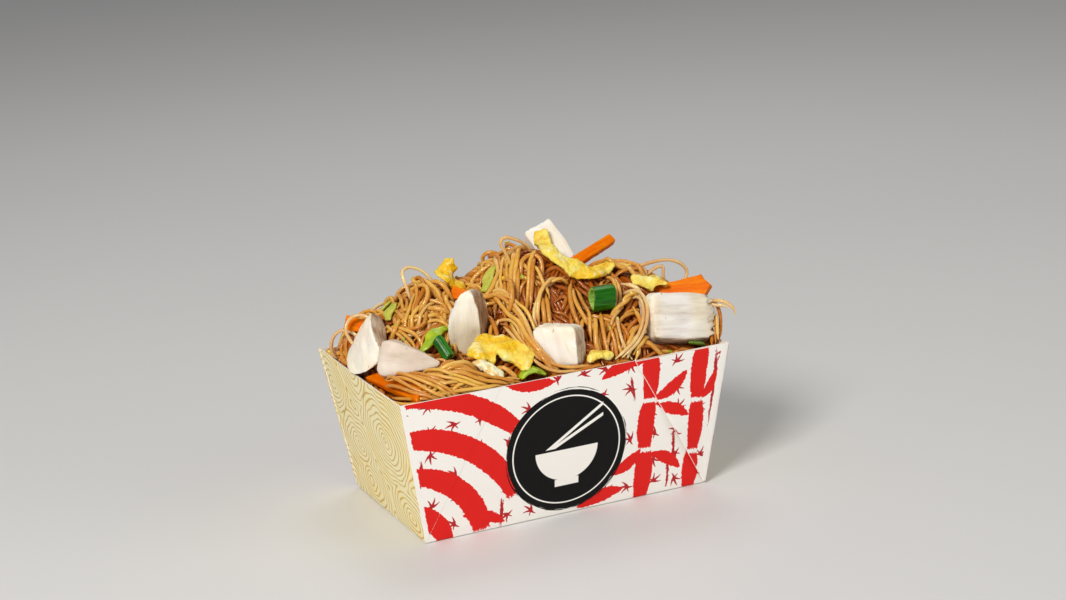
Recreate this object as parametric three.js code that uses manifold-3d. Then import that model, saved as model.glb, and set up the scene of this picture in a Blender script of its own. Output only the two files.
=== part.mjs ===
// A noodle takeaway box: a tapered paperboard tray, folded from one sheet and open at the top,
// heaped with fried noodles, chicken, omelette, carrot, spring onion and leek.
// Millimetres. The origin is the middle of the tray's base, +Z is up, +X runs along the long
// front panel and -Y faces the front.
import * as THREE from "three";
import { mergeVertices } from "three/addons/utils/BufferGeometryUtils.js";
import Module from "manifold-3d";

const wasm = await Module();
wasm.setup();

// ---- driving dimensions ----
const tray = {
  height: 68.5,
  topLength: 160,
  topWidth: 106.5,
  baseLength: 139.5,
  baseWidth: 86.5,
  board: 0.5, // thickness of the paperboard
};
const gap = 0.3; // left between neighbouring pieces
const heap = {
  fillHeight: 63, // where the noodles meet the walls
  baseRise: 14,
  lumps: [
    { x: 8, y: 4, rise: 35, spreadX: 27, spreadY: 30 },
    { x: -42, y: 13, rise: 22, spreadX: 18, spreadY: 28 },
    { x: -74, y: 20, rise: 15, spreadX: 14, spreadY: 24 },
    { x: 52, y: -12, rise: 20, spreadX: 26, spreadY: 30 },
    { x: -12, y: 34, rise: 9, spreadX: 22, spreadY: 16 },
    { x: 74, y: -24, rise: 9, spreadX: 12, spreadY: 26 },
    { x: -76, y: -28, rise: -9, spreadX: 12, spreadY: 22 },
  ],
  columns: 26,
  rows: 18,
};
const noodle = {
  radius: 0.95,
  sides: 5,
  step: 5.2, // length of one straight stretch of a strand
  longest: 64,
  shortest: 18,
  count: 30,
  ride: 0.9, // share of the radius at which a strand's middle lies above the core
};
const colours = {
  board: 0xf1ede2,
  noodles: 0xb87a38,
  chicken: 0xe9dfd2,
  egg: 0xf0cd52,
  carrot: 0xe77a1c,
  onion: 0x2f7a26,
  leek: 0xa3c24a,
};

// ---- small helpers ----
const radians = THREE.MathUtils.degToRad;

// A seeded random source, so that every build gives the same heap.
function randomSource(seed) {
  let state = seed >>> 0;
  return () => {
    state = (state + 0x6d2b79f5) >>> 0;
    let t = Math.imul(state ^ (state >>> 15), 1 | state);
    t = (t + Math.imul(t ^ (t >>> 7), 61 | t)) ^ t;
    return ((t ^ (t >>> 14)) >>> 0) / 4294967296;
  };
}

// Moves every vertex of a geometry to where the rule puts it.
function mapped(geometry, rule) {
  const place = geometry.attributes.position;
  const point = new THREE.Vector3();
  for (let i = 0; i < place.count; i++) {
    point.fromBufferAttribute(place, i);
    rule(point);
    place.setXYZ(i, point.x, point.y, point.z);
  }
  return geometry;
}

// A closed three.js geometry as a solid that can be joined and cut, its faces pointing out.
function solidOf(geometry) {
  const bare = new THREE.BufferGeometry();
  bare.setAttribute("position", geometry.attributes.position.clone());
  if (geometry.index) bare.setIndex(geometry.index.clone());
  const merged = mergeVertices(bare, 1e-4);
  const corners = new Uint32Array(merged.index.array);
  const build = () =>
    new wasm.Manifold(
      new wasm.Mesh({ numProp: 3, vertProperties: merged.attributes.position.array, triVerts: corners }),
    );
  const solid = build();
  if (solid.volume() > 0) return solid;
  for (let i = 0; i < corners.length; i += 3) {
    [corners[i + 1], corners[i + 2]] = [corners[i + 2], corners[i + 1]];
  }
  return build();
}

// A solid as a three.js geometry.
function geometryOf(solid) {
  const mesh = solid.getMesh();
  const points = new Float32Array(mesh.numVert * 3);
  for (let i = 0; i < mesh.numVert; i++) {
    const start = i * mesh.numProp;
    points.set(mesh.vertProperties.subarray(start, start + 3), i * 3);
  }
  const geometry = new THREE.BufferGeometry();
  geometry.setAttribute("position", new THREE.BufferAttribute(points, 3));
  geometry.setIndex(new THREE.BufferAttribute(new Uint32Array(mesh.triVerts), 1));
  geometry.computeVertexNormals();
  return geometry;
}

// The outer skin of the largest body: sealed hollows are filled and loose scraps dropped.
function largestBody(solid) {
  return solid.decompose().reduce((best, body) => (body.volume() > best.volume() ? body : best));
}

function material(colour, roughness) {
  return new THREE.MeshStandardMaterial({ color: colour, roughness, metalness: 0 });
}

// ---- the tray ----
const flare = (tray.topLength - tray.baseLength) / 2; // how far each end wall leans out
const lean = (tray.topWidth - tray.baseWidth) / 2; // how far the front and back lean out
const halfLengthAt = (z) => tray.baseLength / 2 + (flare * z) / tray.height;
const halfWidthAt = (z) => tray.baseWidth / 2 + (lean * z) / tray.height;

// A tapered block whose sides follow the tray's walls, drawn in by inset.
function taperedBlock(low, high, inset) {
  return mapped(new THREE.BoxGeometry(2, 2, 1), (p) => {
    const z = p.z < 0 ? low : high;
    p.set(p.x * (halfLengthAt(z) - inset), p.y * (halfWidthAt(z) - inset), z);
  });
}

// The web between a long panel and an end wall, folded in half and laid flat on the long panel.
// It is a triangle that springs from the base corner; side is +1 or -1 for the panel's two ends.
function foldedWeb(side) {
  const slant = Math.hypot(tray.height, lean); // height of the long panel along its slope
  const panelFlare = Math.atan2(flare, slant);
  const endFlare = Math.atan2(lean, Math.hypot(tray.height, flare));
  const webAngle = Math.PI / 2 - panelFlare - endFlare; // of the whole web, in the flat sheet
  const foldLean = webAngle / 2 - panelFlare; // of the diagonal fold, inwards from upright
  const start = 1.5; // the fold springs this far above the base
  const sunk = 0.2; // laid into the panel so that the two join
  const outerAt = (v) => tray.baseLength / 2 + (flare * v) / slant;
  const innerAt = (v) => tray.baseLength / 2 - v * Math.tan(foldLean);
  const outline = new THREE.Shape([
    new THREE.Vector2(side * innerAt(start), start),
    new THREE.Vector2(side * outerAt(start), start),
    new THREE.Vector2(side * outerAt(slant), slant),
    new THREE.Vector2(side * innerAt(slant), slant),
  ]);
  const web = new THREE.ExtrudeGeometry(outline, { depth: 2 * tray.board + sunk, bevelEnabled: false });
  web.translate(0, 0, -sunk);
  // Stand the flat outline up on the front panel, its thickness facing out.
  web.rotateX(Math.PI / 2 + Math.atan2(lean, tray.height));
  web.translate(0, -tray.baseWidth / 2, 0);
  return web;
}

// The room that the walls and a small gap beside them take up.
function wallPocket() {
  const outside = solidOf(taperedBlock(-1, tray.height + gap, -8));
  return outside.subtract(solidOf(taperedBlock(tray.board + gap, tray.height + 1, tray.board + gap)));
}

function traySolid() {
  const outside = solidOf(taperedBlock(0, tray.height, 0));
  const inside = solidOf(taperedBlock(tray.board, tray.height + 1, tray.board));
  let solid = outside.subtract(inside);
  for (const side of [-1, 1]) {
    const front = foldedWeb(side);
    const back = front.clone().rotateZ(Math.PI);
    solid = solid.add(solidOf(front)).add(solidOf(back));
  }
  return solid;
}

// ---- the heap of noodles ----
// Height of the bare core: low at the walls, with rounded lumps and a little unevenness.
function coreHeight(x, y) {
  const toEdge = Math.abs(x / (tray.topLength / 2 - 1)) ** 6 + Math.abs(y / (tray.topWidth / 2 - 1)) ** 5;
  const edge = Math.sqrt(Math.max(0, 1 - toEdge));
  let rise = heap.baseRise;
  for (const lump of heap.lumps) {
    rise += lump.rise * Math.exp(-(((x - lump.x) / lump.spreadX) ** 2) - ((y - lump.y) / lump.spreadY) ** 2);
  }
  const acrossX = Math.sin(0.31 * x + 1.7 * Math.sin(0.11 * y));
  const acrossY = Math.cos(0.37 * y + 0.9 * Math.sin(0.13 * x));
  return heap.fillHeight + edge * (rise + 1.1 * acrossX * acrossY);
}

function coreNormal(x, y) {
  const reach = 1.5;
  const slopeX = (coreHeight(x + reach, y) - coreHeight(x - reach, y)) / (2 * reach);
  const slopeY = (coreHeight(x, y + reach) - coreHeight(x, y - reach)) / (2 * reach);
  return new THREE.Vector3(-slopeX, -slopeY, 1).normalize();
}

// The core fills the tray up to the noodles' level and rises above it as the heap.
function coreGeometry() {
  const { columns, rows, fillHeight } = heap;
  const floor = tray.board + gap;
  const reachX = halfLengthAt(fillHeight) - tray.board - gap;
  const reachY = halfWidthAt(fillHeight) - tray.board - gap;
  const points = [];
  const corners = [];
  const top = (i, j) => i * (rows + 1) + j;
  for (let i = 0; i <= columns; i++) {
    for (let j = 0; j <= rows; j++) {
      const x = reachX * ((2 * i) / columns - 1);
      const y = reachY * ((2 * j) / rows - 1);
      const onEdge = i === 0 || i === columns || j === 0 || j === rows;
      points.push(x, y, onEdge ? fillHeight : coreHeight(x, y));
    }
  }
  for (let i = 0; i < columns; i++) {
    for (let j = 0; j < rows; j++) {
      const [a, b, c, d] = [top(i, j), top(i + 1, j), top(i + 1, j + 1), top(i, j + 1)];
      corners.push(a, b, c, a, c, d);
    }
  }
  // The rim of the heap, anticlockwise from above, drops straight down the walls to the floor.
  const rim = [];
  for (let i = 0; i < columns; i++) rim.push(top(i, 0));
  for (let j = 0; j < rows; j++) rim.push(top(columns, j));
  for (let i = columns; i > 0; i--) rim.push(top(i, rows));
  for (let j = rows; j > 0; j--) rim.push(top(0, j));
  const firstFoot = points.length / 3;
  const shrinkX = (halfLengthAt(floor) - tray.board - gap) / reachX;
  const shrinkY = (halfWidthAt(floor) - tray.board - gap) / reachY;
  for (const r of rim) points.push(points[3 * r] * shrinkX, points[3 * r + 1] * shrinkY, floor);
  const middle = points.length / 3;
  points.push(0, 0, floor);
  rim.forEach((upper, k) => {
    const next = (k + 1) % rim.length;
    corners.push(upper, firstFoot + k, firstFoot + next, upper, firstFoot + next, rim[next]);
    corners.push(middle, firstFoot + next, firstFoot + k);
  });
  const geometry = new THREE.BufferGeometry();
  geometry.setAttribute("position", new THREE.Float32BufferAttribute(points, 3));
  geometry.setIndex(corners);
  return geometry;
}

// ---- toppings ----
// A lump of chicken, long along X. Its section is a softened polygon in the YZ plane, with one
// flat side facing the given angle from Y; ends sets how squarely it is cut off, and skew slants
// its ends.
function chickenShape(lump) {
  const { length, width, depth, sides = 4, facing = 90, crisp = 0.9, ends = 6 } = lump;
  const { bow = 0, taper = 0, skew = 0 } = lump;
  const wedge = (2 * Math.PI) / sides;
  return (grow) =>
    mapped(new THREE.SphereGeometry(1, 4 * sides, 8), (p) => {
      // The sphere's poles lie on its Y axis and become the two ends.
      const along = Math.sign(p.y) * Math.abs(p.y) ** 0.6;
      const fromFlat = Math.atan2(p.z, p.x);
      const offFlat = fromFlat - wedge * Math.round(fromFlat / wedge);
      const angle = fromFlat + radians(facing);
      const flat = (1.12 * Math.cos(wedge / 2)) / Math.cos(offFlat);
      const atPole = Math.abs(p.y) > 0.9999;
      const end = atPole ? 0 : (1 - Math.abs(along) ** ends) ** (1 / ends);
      const reach = end * THREE.MathUtils.lerp(1, flat, crisp) * (1 - taper * along);
      const y = reach * Math.cos(angle) * (width / 2 + grow) + bow * (1 - along * along);
      p.set(along * (length / 2 + grow) + skew * y, y, reach * Math.sin(angle) * (depth / 2 + grow));
    });
}

// A carrot stick, long along X, with softened edges. Its ends can be cut obliquely, and one of
// them to a point.
function carrotShape({ length, width, depth, taper = 0.1, cut = 0, point = 0 }) {
  return (grow) =>
    mapped(new THREE.CylinderGeometry(1, 1, 1, 8, 2), (p) => {
      const along = 2 * p.y;
      const angle = Math.atan2(p.z, p.x) + Math.PI / 8;
      const radius = Math.hypot(p.x, p.z);
      const square = 1 / Math.max(Math.abs(Math.cos(angle)), Math.abs(Math.sin(angle)));
      const narrow = (1 - taper * along) * radius * Math.min(square, 1.2);
      const y = Math.cos(angle) * (width / 2 + grow) * narrow;
      const z = Math.sin(angle) * (depth / 2 + grow) * narrow;
      const slant = cut * y * Math.sign(along) - point * Math.abs(y + 0.6) * Math.max(0, along) ** 6;
      p.set(along * (length / 2 + grow) + slant, y, z);
    });
}

// A length of spring onion: a slightly oval tube along X.
function onionShape({ radius, wall, length, oval = 0.9 }) {
  return (grow) => {
    const half = length / 2 + grow;
    const outer = radius + grow;
    const inner = grow > 0 ? 0 : radius - wall;
    const profile = [
      new THREE.Vector2(inner, -half),
      new THREE.Vector2(outer, -half),
      new THREE.Vector2(outer, half),
      new THREE.Vector2(inner, half),
    ];
    if (inner > 0) profile.push(profile[0].clone());
    return mapped(new THREE.LatheGeometry(profile, 12), (p) => p.set(p.y, p.x, p.z * oval));
  };
}

// The value at t, from 0 to 1, of a number or of a list spread evenly from 0 to 1.
function spread(values, t) {
  if (!Array.isArray(values)) return values;
  const at = t * (values.length - 1);
  const i = Math.min(values.length - 2, Math.floor(at));
  return THREE.MathUtils.lerp(values[i], values[i + 1], at - i);
}

// A soft ribbon laid over the heap: a strip of omelette or of leek. Its middle line runs through
// path, whose points are x, y and the height above the core. It follows the core's slope where
// level is 0 and lies level across where it is 1.
function ribbonShape({ path, width, thick, level = 0, ruffle = 0, waves = 2, seed = 0 }) {
  const laid = path.map(([x, y, lift]) => new THREE.Vector3(x, y, coreHeight(x, y) + lift));
  const line = new THREE.CatmullRomCurve3(laid, false, "centripetal");
  const lengthwise = Math.max(4, Math.round(line.getLength() / 4.2));
  const across = Math.max(2, Math.round(width / 5));
  return (grow) =>
    mapped(new THREE.BoxGeometry(1, 1, 1, lengthwise, across, 1), (p) => {
      const t = p.x + 0.5;
      const along = line.getTangentAt(t);
      const middle = line.getPointAt(t);
      const up = coreNormal(middle.x, middle.y).lerp(new THREE.Vector3(0, 0, 1), spread(level, t));
      up.addScaledVector(along, -up.dot(along)).normalize();
      const sideways = new THREE.Vector3().crossVectors(up, along);
      const narrow = 1 - 0.5 * Math.abs(2 * p.x) ** 3 + 0.16 * Math.sin(10 * p.x + 3 * seed);
      const offset = p.y * (width * narrow + 2 * grow) + 0.1 * width * Math.sin(8 * p.x + seed);
      const fold = Math.sin(waves * 2 * Math.PI * p.x + seed) * Math.cos(2.4 * p.y + seed);
      const height = ruffle * fold + p.z * (thick + 2 * grow);
      middle.addScaledVector(along, 2 * p.x * grow);
      p.copy(middle).addScaledVector(sideways, offset).addScaledVector(up, height);
    });
}

// Where each topping lies. A rigid piece has at, the x, y and z of its middle, and turn, its
// heading about Z, pitch about Y and roll about X in degrees. A ribbon's place is its path.
const toppings = [
  // Chicken breast, cut in lumps and in curved slices that stand on edge.
  {
    name: "chicken_top",
    kind: "chicken",
    shape: chickenShape({ length: 23.2, width: 18.3, depth: 9.2, ends: 10, crisp: 0.97 }),
    at: [23.4, 12.2, 109.6],
    turn: [-69.5, 43.6, 29],
  },
  {
    name: "chicken_rear_left",
    kind: "chicken",
    shape: chickenShape({ length: 33, width: 27, depth: 8.6, sides: 3, facing: 122, ends: 2.5, bow: -4.5 }),
    at: [-70.1, 1, 84.2],
    turn: [-104, 21, 48],
  },
  {
    name: "chicken_front_left",
    kind: "chicken",
    shape: chickenShape({ length: 28.2, width: 15.3, depth: 9.4, ends: 3.4, taper: 0.69 }),
    at: [-63.8, -25.6, 79.2],
    turn: [-39.6, 4.6, 68.7],
  },
  {
    name: "chicken_middle",
    kind: "chicken",
    shape: chickenShape({
      length: 39, width: 24.7, depth: 9.4, sides: 3, facing: 147, ends: 2.2, bow: 0.7,
    }),
    at: [-31, -18.8, 86.4],
    turn: [-113, 104, -35],
  },
  {
    name: "chicken_front",
    kind: "chicken",
    shape: chickenShape({
      length: 19.2, width: 22.5, depth: 15.2, ends: 6, crisp: 0.95, taper: -0.17, skew: 0.2,
    }),
    at: [3, -40.6, 77.7],
    turn: [101, -72, -53],
  },
  {
    name: "chicken_right",
    kind: "chicken",
    shape: chickenShape({ length: 33, width: 27, depth: 16, facing: 85, ends: 8, crisp: 0.75 }),
    at: [61, -40, 80],
    turn: [7, 11, 74],
  },
  {
    name: "chicken_back",
    kind: "chicken",
    shape: chickenShape({ length: 28, width: 19, depth: 14, ends: 6 }),
    at: [-10, 39, 83],
    turn: [165, 8, -48],
  },
  {
    name: "chicken_back_right",
    kind: "chicken",
    shape: chickenShape({ length: 32, width: 18, depth: 12, sides: 3, ends: 2.4, bow: 3 }),
    at: [47, 28, 86.5],
    turn: [215, -20, 15],
  },
  // Omelette, in soft crumpled strips.
  {
    name: "egg_top",
    kind: "egg",
    shape: ribbonShape({
      path: [
        [20.4, 12.2, 11.9], [18.6, 7, 4], [15.4, -3, 3.6], [15.8, -8.6, 3.4], [19.4, -12, 3.2],
        [25.4, -13.6, 3], [31.8, -15.4, 3], [38.8, -12.2, 3], [44, -13, 5.4],
      ],
      level: [1, 1, 0.5, 0, 0, 0, 0, 0],
      width: 8.8,
      thick: 2.6,
      ruffle: 1.4,
      waves: 3.4,
      seed: 2,
    }),
  },
  {
    name: "egg_left",
    kind: "egg",
    shape: ribbonShape({
      path: [
        [-26.2, 18, 16.5], [-27.2, 16.3, 12.8], [-27, 14.5, 8.4], [-24.9, 12.6, 4.7],
        [-22.5, 10, 2.8],
      ],
      level: 1,
      width: 10,
      thick: 2.4,
      ruffle: 0.8,
      waves: 1.5,
      seed: 5,
    }),
  },
  {
    name: "egg_front",
    kind: "egg",
    shape: ribbonShape({
      path: [[-40, -38, 2.6], [-33, -35, 4], [-26, -36, 4.2], [-20, -41, 3.6], [-13, -46, 2.6]],
      width: 15.5,
      thick: 3.8,
      ruffle: 1.3,
      waves: 2,
      seed: 1,
    }),
  },
  {
    name: "egg_curl",
    kind: "egg",
    shape: ribbonShape({
      path: [[-39.4, -39.6, 2], [-36.2, -43.8, 2.2], [-33.4, -47.8, 2.6], [-30.8, -50.2, 2.2]],
      level: 1,
      width: 6.2,
      thick: 4,
      seed: 4,
    }),
  },
  {
    name: "egg_right",
    kind: "egg",
    shape: ribbonShape({
      path: [[50, -26.5, 2], [58, -22.5, 2.2], [66.5, -19, 1.6]],
      width: 12,
      thick: 2.6,
      ruffle: 1.2,
      waves: 1.6,
      seed: 4,
    }),
  },
  {
    name: "egg_rim",
    kind: "egg",
    shape: ribbonShape({
      path: [[11.5, -49.5, 0.6], [17.5, -48.5, 1.4], [23.5, -49.5, 0.6]],
      level: 1,
      width: 6.5,
      thick: 3.6,
      seed: 3,
    }),
  },
  {
    name: "egg_back",
    kind: "egg",
    shape: ribbonShape({
      path: [[28, 30, 2.6], [20, 32, 3.6], [12, 31, 3.2], [5, 28, 2.6]],
      width: 13,
      thick: 3,
      ruffle: 1.4,
      waves: 2,
      seed: 7,
    }),
  },
  {
    name: "egg_back_left",
    kind: "egg",
    shape: ribbonShape({
      path: [[-66, 38, 2.2], [-58, 40, 2.6], [-49, 42, 2.2]],
      width: 11,
      thick: 2.8,
      ruffle: 1,
      waves: 1.6,
      seed: 9,
    }),
  },
  // Carrot, cut in sticks.
  {
    name: "carrot_top",
    kind: "carrot",
    shape: carrotShape({ length: 31, width: 5, depth: 4.4, taper: 0.05 }),
    at: [40.4, 5, 105],
    turn: [19, -14, 40],
  },
  {
    name: "carrot_right",
    kind: "carrot",
    shape: carrotShape({ length: 29, width: 8, depth: 5, taper: -0.3, point: 0.9 }),
    at: [70.8, -27, 89.6],
    turn: [-33, -8, 65],
  },
  {
    name: "carrot_front_left",
    kind: "carrot",
    shape: carrotShape({ length: 40, width: 8.4, depth: 3.4, taper: -0.2, cut: -0.9 }),
    at: [-70.8, -27, 69.4],
    turn: [-80, -1, 24],
  },
  {
    name: "carrot_middle",
    kind: "carrot",
    shape: carrotShape({ length: 7, width: 5.6, depth: 4.4 }),
    at: [-26.6, 4.4, 96.6],
    turn: [-38, 14, 61],
  },
  {
    name: "carrot_rear_left",
    kind: "carrot",
    shape: carrotShape({ length: 11, width: 6.4, depth: 5 }),
    at: [-71, 22, 85.6],
    turn: [-22, 17, 66],
  },
  {
    name: "carrot_back",
    kind: "carrot",
    shape: carrotShape({ length: 30, width: 5.6, depth: 5 }),
    at: [33, 44, 79.5],
    turn: [165, 4, 25],
  },
  {
    name: "carrot_back_left",
    kind: "carrot",
    shape: carrotShape({ length: 24, width: 6, depth: 5 }),
    at: [-36, 38, 86],
    turn: [30, 4, 25],
  },
  // Spring onion, in short tubes.
  {
    name: "onion_top",
    kind: "onion",
    shape: onionShape({ radius: 5.8, wall: 1.5, length: 10.5, oval: 0.94 }),
    at: [29, -31, 93.2],
    turn: [-9, 3, 75],
  },
  {
    name: "onion_middle",
    kind: "onion",
    shape: onionShape({ radius: 2.7, wall: 0.9, length: 11, oval: 0.9 }),
    at: [-47.6, -25.5, 82],
    turn: [-65, 43, 50],
  },
  {
    name: "onion_back",
    kind: "onion",
    shape: onionShape({ radius: 5.2, wall: 1.4, length: 11, oval: 0.9 }),
    at: [64, 9, 86.5],
    turn: [70, 14, 0],
  },
  // Leek and the pale ends of the onions, in strips.
  {
    name: "leek_middle",
    kind: "leek",
    shape: ribbonShape({
      path: [[-56, -20, 2.2], [-49.5, -18, 2.8], [-41.5, -14.5, 2.4]],
      width: 5.6,
      thick: 1.8,
      seed: 0.5,
    }),
  },
  {
    name: "leek_left",
    kind: "leek",
    shape: ribbonShape({
      path: [[-60, 11.5, 2], [-55.5, 16, 2.6], [-52.5, 18.5, 2]],
      width: 5.8,
      thick: 1.8,
      seed: 2.6,
    }),
  },
  {
    name: "leek_peak",
    kind: "leek",
    shape: ribbonShape({
      path: [[-16.5, -0.5, 2], [-12, 4, 2.6], [-7, 8.5, 2]],
      width: 6,
      thick: 1.8,
      seed: 0.5,
    }),
  },
  {
    name: "leek_front",
    kind: "leek",
    shape: ribbonShape({
      path: [[-22, -50, -0.4], [-16, -49, 1.4], [-9.5, -49.8, -0.4]],
      level: 1,
      width: 6.6,
      thick: 2.4,
      seed: 4.7,
    }),
  },
  {
    name: "leek_right",
    kind: "leek",
    shape: ribbonShape({
      path: [[63, -47.5, 0.6], [69, -45.5, 0], [74.5, -42.5, 0.8]],
      level: 1,
      width: 5,
      thick: 1.8,
      seed: 5,
    }),
  },
  {
    name: "leek_back",
    kind: "leek",
    shape: ribbonShape({
      path: [[-60, 24, 2], [-52, 27, 2.6], [-45, 31, 2]],
      width: 5.8,
      thick: 1.8,
      seed: 4.7,
    }),
  },
];

// Makes one topping's mesh and the pocket that its neighbours keep clear of. It is cut back where
// it would reach the walls or a topping laid before it.
function toppingMesh({ name, kind, shape, at, turn }, taken) {
  const mesh = new THREE.Mesh(undefined, material(colours[kind], 0.5));
  mesh.name = name;
  if (at) {
    const [heading, pitch, roll] = turn.map(radians);
    mesh.position.set(...at);
    mesh.rotation.set(roll, pitch, heading, "ZYX");
  }
  mesh.updateMatrix();
  const solid = solidOf(shape(0).applyMatrix4(mesh.matrix));
  const geometry = geometryOf(largestBody(taken.reduce((left, other) => left.subtract(other), solid)));
  mesh.geometry = geometry.applyMatrix4(mesh.matrix.clone().invert());
  return { mesh, pocket: solidOf(shape(gap).applyMatrix4(mesh.matrix)) };
}

// ---- strands ----
// Which way the noodles run: down and round the main lump, and along the walls further out.
function strandHeading(x, y) {
  const main = heap.lumps[0];
  const outward = Math.atan2(y - main.y, x - main.x);
  const far = THREE.MathUtils.smoothstep(Math.hypot(x - main.x, y - main.y), 25, 60);
  return outward + THREE.MathUtils.lerp(0.45, 1.25, far);
}

// The middle line of one strand as it would wander over the core from x, y.
function wander(x, y, random) {
  const steps = Math.round((noodle.longest / noodle.step) * (0.7 + 0.3 * random()));
  const curl = (random() - 0.5) * 0.16; // extra turn at each step
  const points = [];
  let heading = strandHeading(x, y) + (random() - 0.5) * 1.5;
  for (let i = 0; i <= steps; i++) {
    if (Math.abs(x) > tray.topLength / 2 - 5 || Math.abs(y) > tray.topWidth / 2 - 5) break;
    points.push(new THREE.Vector3(x, y, 0));
    x += 0.9 * noodle.step * Math.cos(heading);
    y += 0.9 * noodle.step * Math.sin(heading);
    heading += curl + (random() - 0.5) * 0.25;
  }
  return points;
}

// Lays a path on the core, sinking its two ends into it.
function laidOnCore(points) {
  const last = points.length - 1;
  return points.map((p, i) => {
    const sink = i === 0 || i === last ? -3 * noodle.radius : noodle.ride * noodle.radius;
    const laid = new THREE.Vector3(p.x, p.y, coreHeight(p.x, p.y));
    return laid.addScaledVector(coreNormal(p.x, p.y), sink);
  });
}

// A noodle along a smooth curve through the given points.
function noodleSolid(points) {
  const curve = new THREE.CatmullRomCurve3(points, false, "centripetal");
  const corner = (k) => {
    const angle = (2 * Math.PI * k) / noodle.sides;
    return new THREE.Vector2(noodle.radius * Math.cos(angle), noodle.radius * Math.sin(angle));
  };
  const section = new THREE.Shape(Array.from({ length: noodle.sides }, (_, k) => corner(k)));
  const steps = Math.max(6, Math.round(curve.getLength() / noodle.step));
  return solidOf(new THREE.ExtrudeGeometry(section, { steps, extrudePath: curve, bevelEnabled: false }));
}

// Loops and loose ends that spring clear of the heap. The points are x, y, z.
const loops = [
  // Over the left hump and over the main one.
  [[-32, 15, 94], [-37, 17, 106], [-45, 18, 110], [-50, 16, 109], [-49, 12, 103], [-47, 9, 93]],
  [[12, 2, 106], [7, 0, 115.5], [3, -1, 118.1], [-1.5, -1, 120.4], [-5.5, -1, 121.6], [-7.6, -1, 120],
    [-6.5, -1, 116.8], [-3.3, -1, 112], [-1, -1.5, 104]],
  // Over the right shoulder, one inside the other.
  [[46, -12, 90], [52, -12.5, 97], [57.5, -13, 99.8], [67, -13, 101], [74, -13, 100.4], [80, -13.5, 97],
    [82.3, -14, 92.5], [79.5, -14.5, 89.5], [71, -15, 86.5], [67, -16, 80]],
  [[54, -11, 88], [60.5, -14, 96], [65, -14.5, 98.4], [69.7, -14.5, 98.8], [67.6, -14.5, 94.5],
    [69.5, -14, 90], [70, -13, 84]],
  // Along the left rim.
  [[-74, 14, 76], [-79, 16, 85], [-77, 18, 89.5], [-73, 18, 92], [-69, 16, 92], [-65, 11, 88], [-61, 7, 84]],
  [[-76, 33, 66], [-81, 31, 71], [-82, 28, 79], [-79, 26, 83.5], [-75, 22, 84.5], [-71, 17, 80]],
  // A loose end that hangs over the right rim.
  [[70, -24, 70], [75, -27.5, 78], [79.8, -35, 83.5], [81, -41, 85.6], [83, -43.5, 85.9], [85.6, -45, 84.8],
    [87.2, -46, 82.6], [88.6, -46, 78.9]],
  // On the far side.
  [[14, 41, 76], [20, 44, 88], [30, 45, 90], [38, 42, 84], [42, 38, 76]],
  [[-66, 28, 78], [-60, 33, 88], [-50, 36, 90], [-42, 38, 84], [-38, 38, 74]],
];

// The places near the toppings that strands keep out of, as a set of small cubes.
const cube = 2;
const cubeKey = (x, y, z) => [x, y, z].map((v) => Math.round(v / cube)).join();

function cubesNear(solid) {
  const filled = new Set();
  const place = geometryOf(solid).toNonIndexed().attributes.position;
  const around = [-cube, 0, cube];
  for (let i = 0; i < place.count; i += 3) {
    const [a, b, c] = [0, 1, 2].map((k) => new THREE.Vector3().fromBufferAttribute(place, i + k));
    const pieces = Math.ceil(Math.max(a.distanceTo(b), b.distanceTo(c), c.distanceTo(a)) / cube);
    for (let m = 0; m <= pieces; m++) {
      for (let n = 0; n <= pieces - m; n++) {
        const p = a.clone().lerp(b, m / pieces).addScaledVector(c.clone().sub(a), n / pieces);
        for (const dx of around) {
          for (const dy of around) {
            for (const dz of around) filled.add(cubeKey(p.x + dx, p.y + dy, p.z + dz));
          }
        }
      }
    }
  }
  return filled;
}

// The longest stretch of a path that keeps clear of the toppings, or nothing if it is too short.
function clearStretch(points, filled) {
  const curve = new THREE.CatmullRomCurve3(points, false, "centripetal");
  const length = curve.getLength();
  const checks = Math.ceil(length / cube);
  let best = [0, 0];
  let start = 0;
  for (let i = 0; i <= checks; i++) {
    const { x, y, z } = curve.getPointAt(i / checks);
    if (filled.has(cubeKey(x, y, z))) start = i + 1;
    else if (i - start > best[1] - best[0]) best = [start, i];
  }
  const [from, to] = best.map((i) => i / checks);
  const steps = Math.round(((to - from) * length) / noodle.step);
  if (steps * noodle.step < noodle.shortest) return null;
  const share = (i) => Math.min(1, THREE.MathUtils.lerp(from, to, i / steps));
  return Array.from({ length: steps + 1 }, (_, i) => curve.getPointAt(share(i)));
}

// Lays the strands one by one. Each is the one, out of several found, that lies furthest from
// the strands before it.
function laidStrands(filled) {
  const random = randomSource(7);
  const laid = [];
  const used = [];
  while (laid.length < noodle.count) {
    let best = null;
    for (let found = 0; found < 30; ) {
      const x = (random() - 0.5) * (tray.topLength - 14);
      const y = (random() - 0.5) * (tray.topWidth - 14);
      const path = wander(x, y, random);
      const clear = path.length > 4 ? clearStretch(laidOnCore(path), filled) : null;
      if (!clear) continue;
      found++;
      const inner = clear.slice(1, -1);
      const room = inner.reduce((sum, p) => sum + Math.min(30, ...used.map((u) => u.distanceTo(p))), 0);
      const score = room / inner.length + 0.08 * clear.length * noodle.step;
      if (!best || score > best.score) best = { clear, inner, score };
    }
    used.push(...best.inner);
    laid.push(laidOnCore(best.clear));
  }
  return laid;
}

function noodleHeap(made) {
  const pockets = made.map(({ pocket }) => pocket).reduce((all, pocket) => all.add(pocket));
  const sprung = loops.map((loop) => loop.map((p) => new THREE.Vector3(...p)));
  const strands = [...laidStrands(cubesNear(pockets)), ...sprung];
  const core = solidOf(coreGeometry());
  const heaped = strands.reduce((all, strand) => all.add(noodleSolid(strand)), core);
  return largestBody(heaped.subtract(pockets).subtract(wallPocket()));
}

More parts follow.
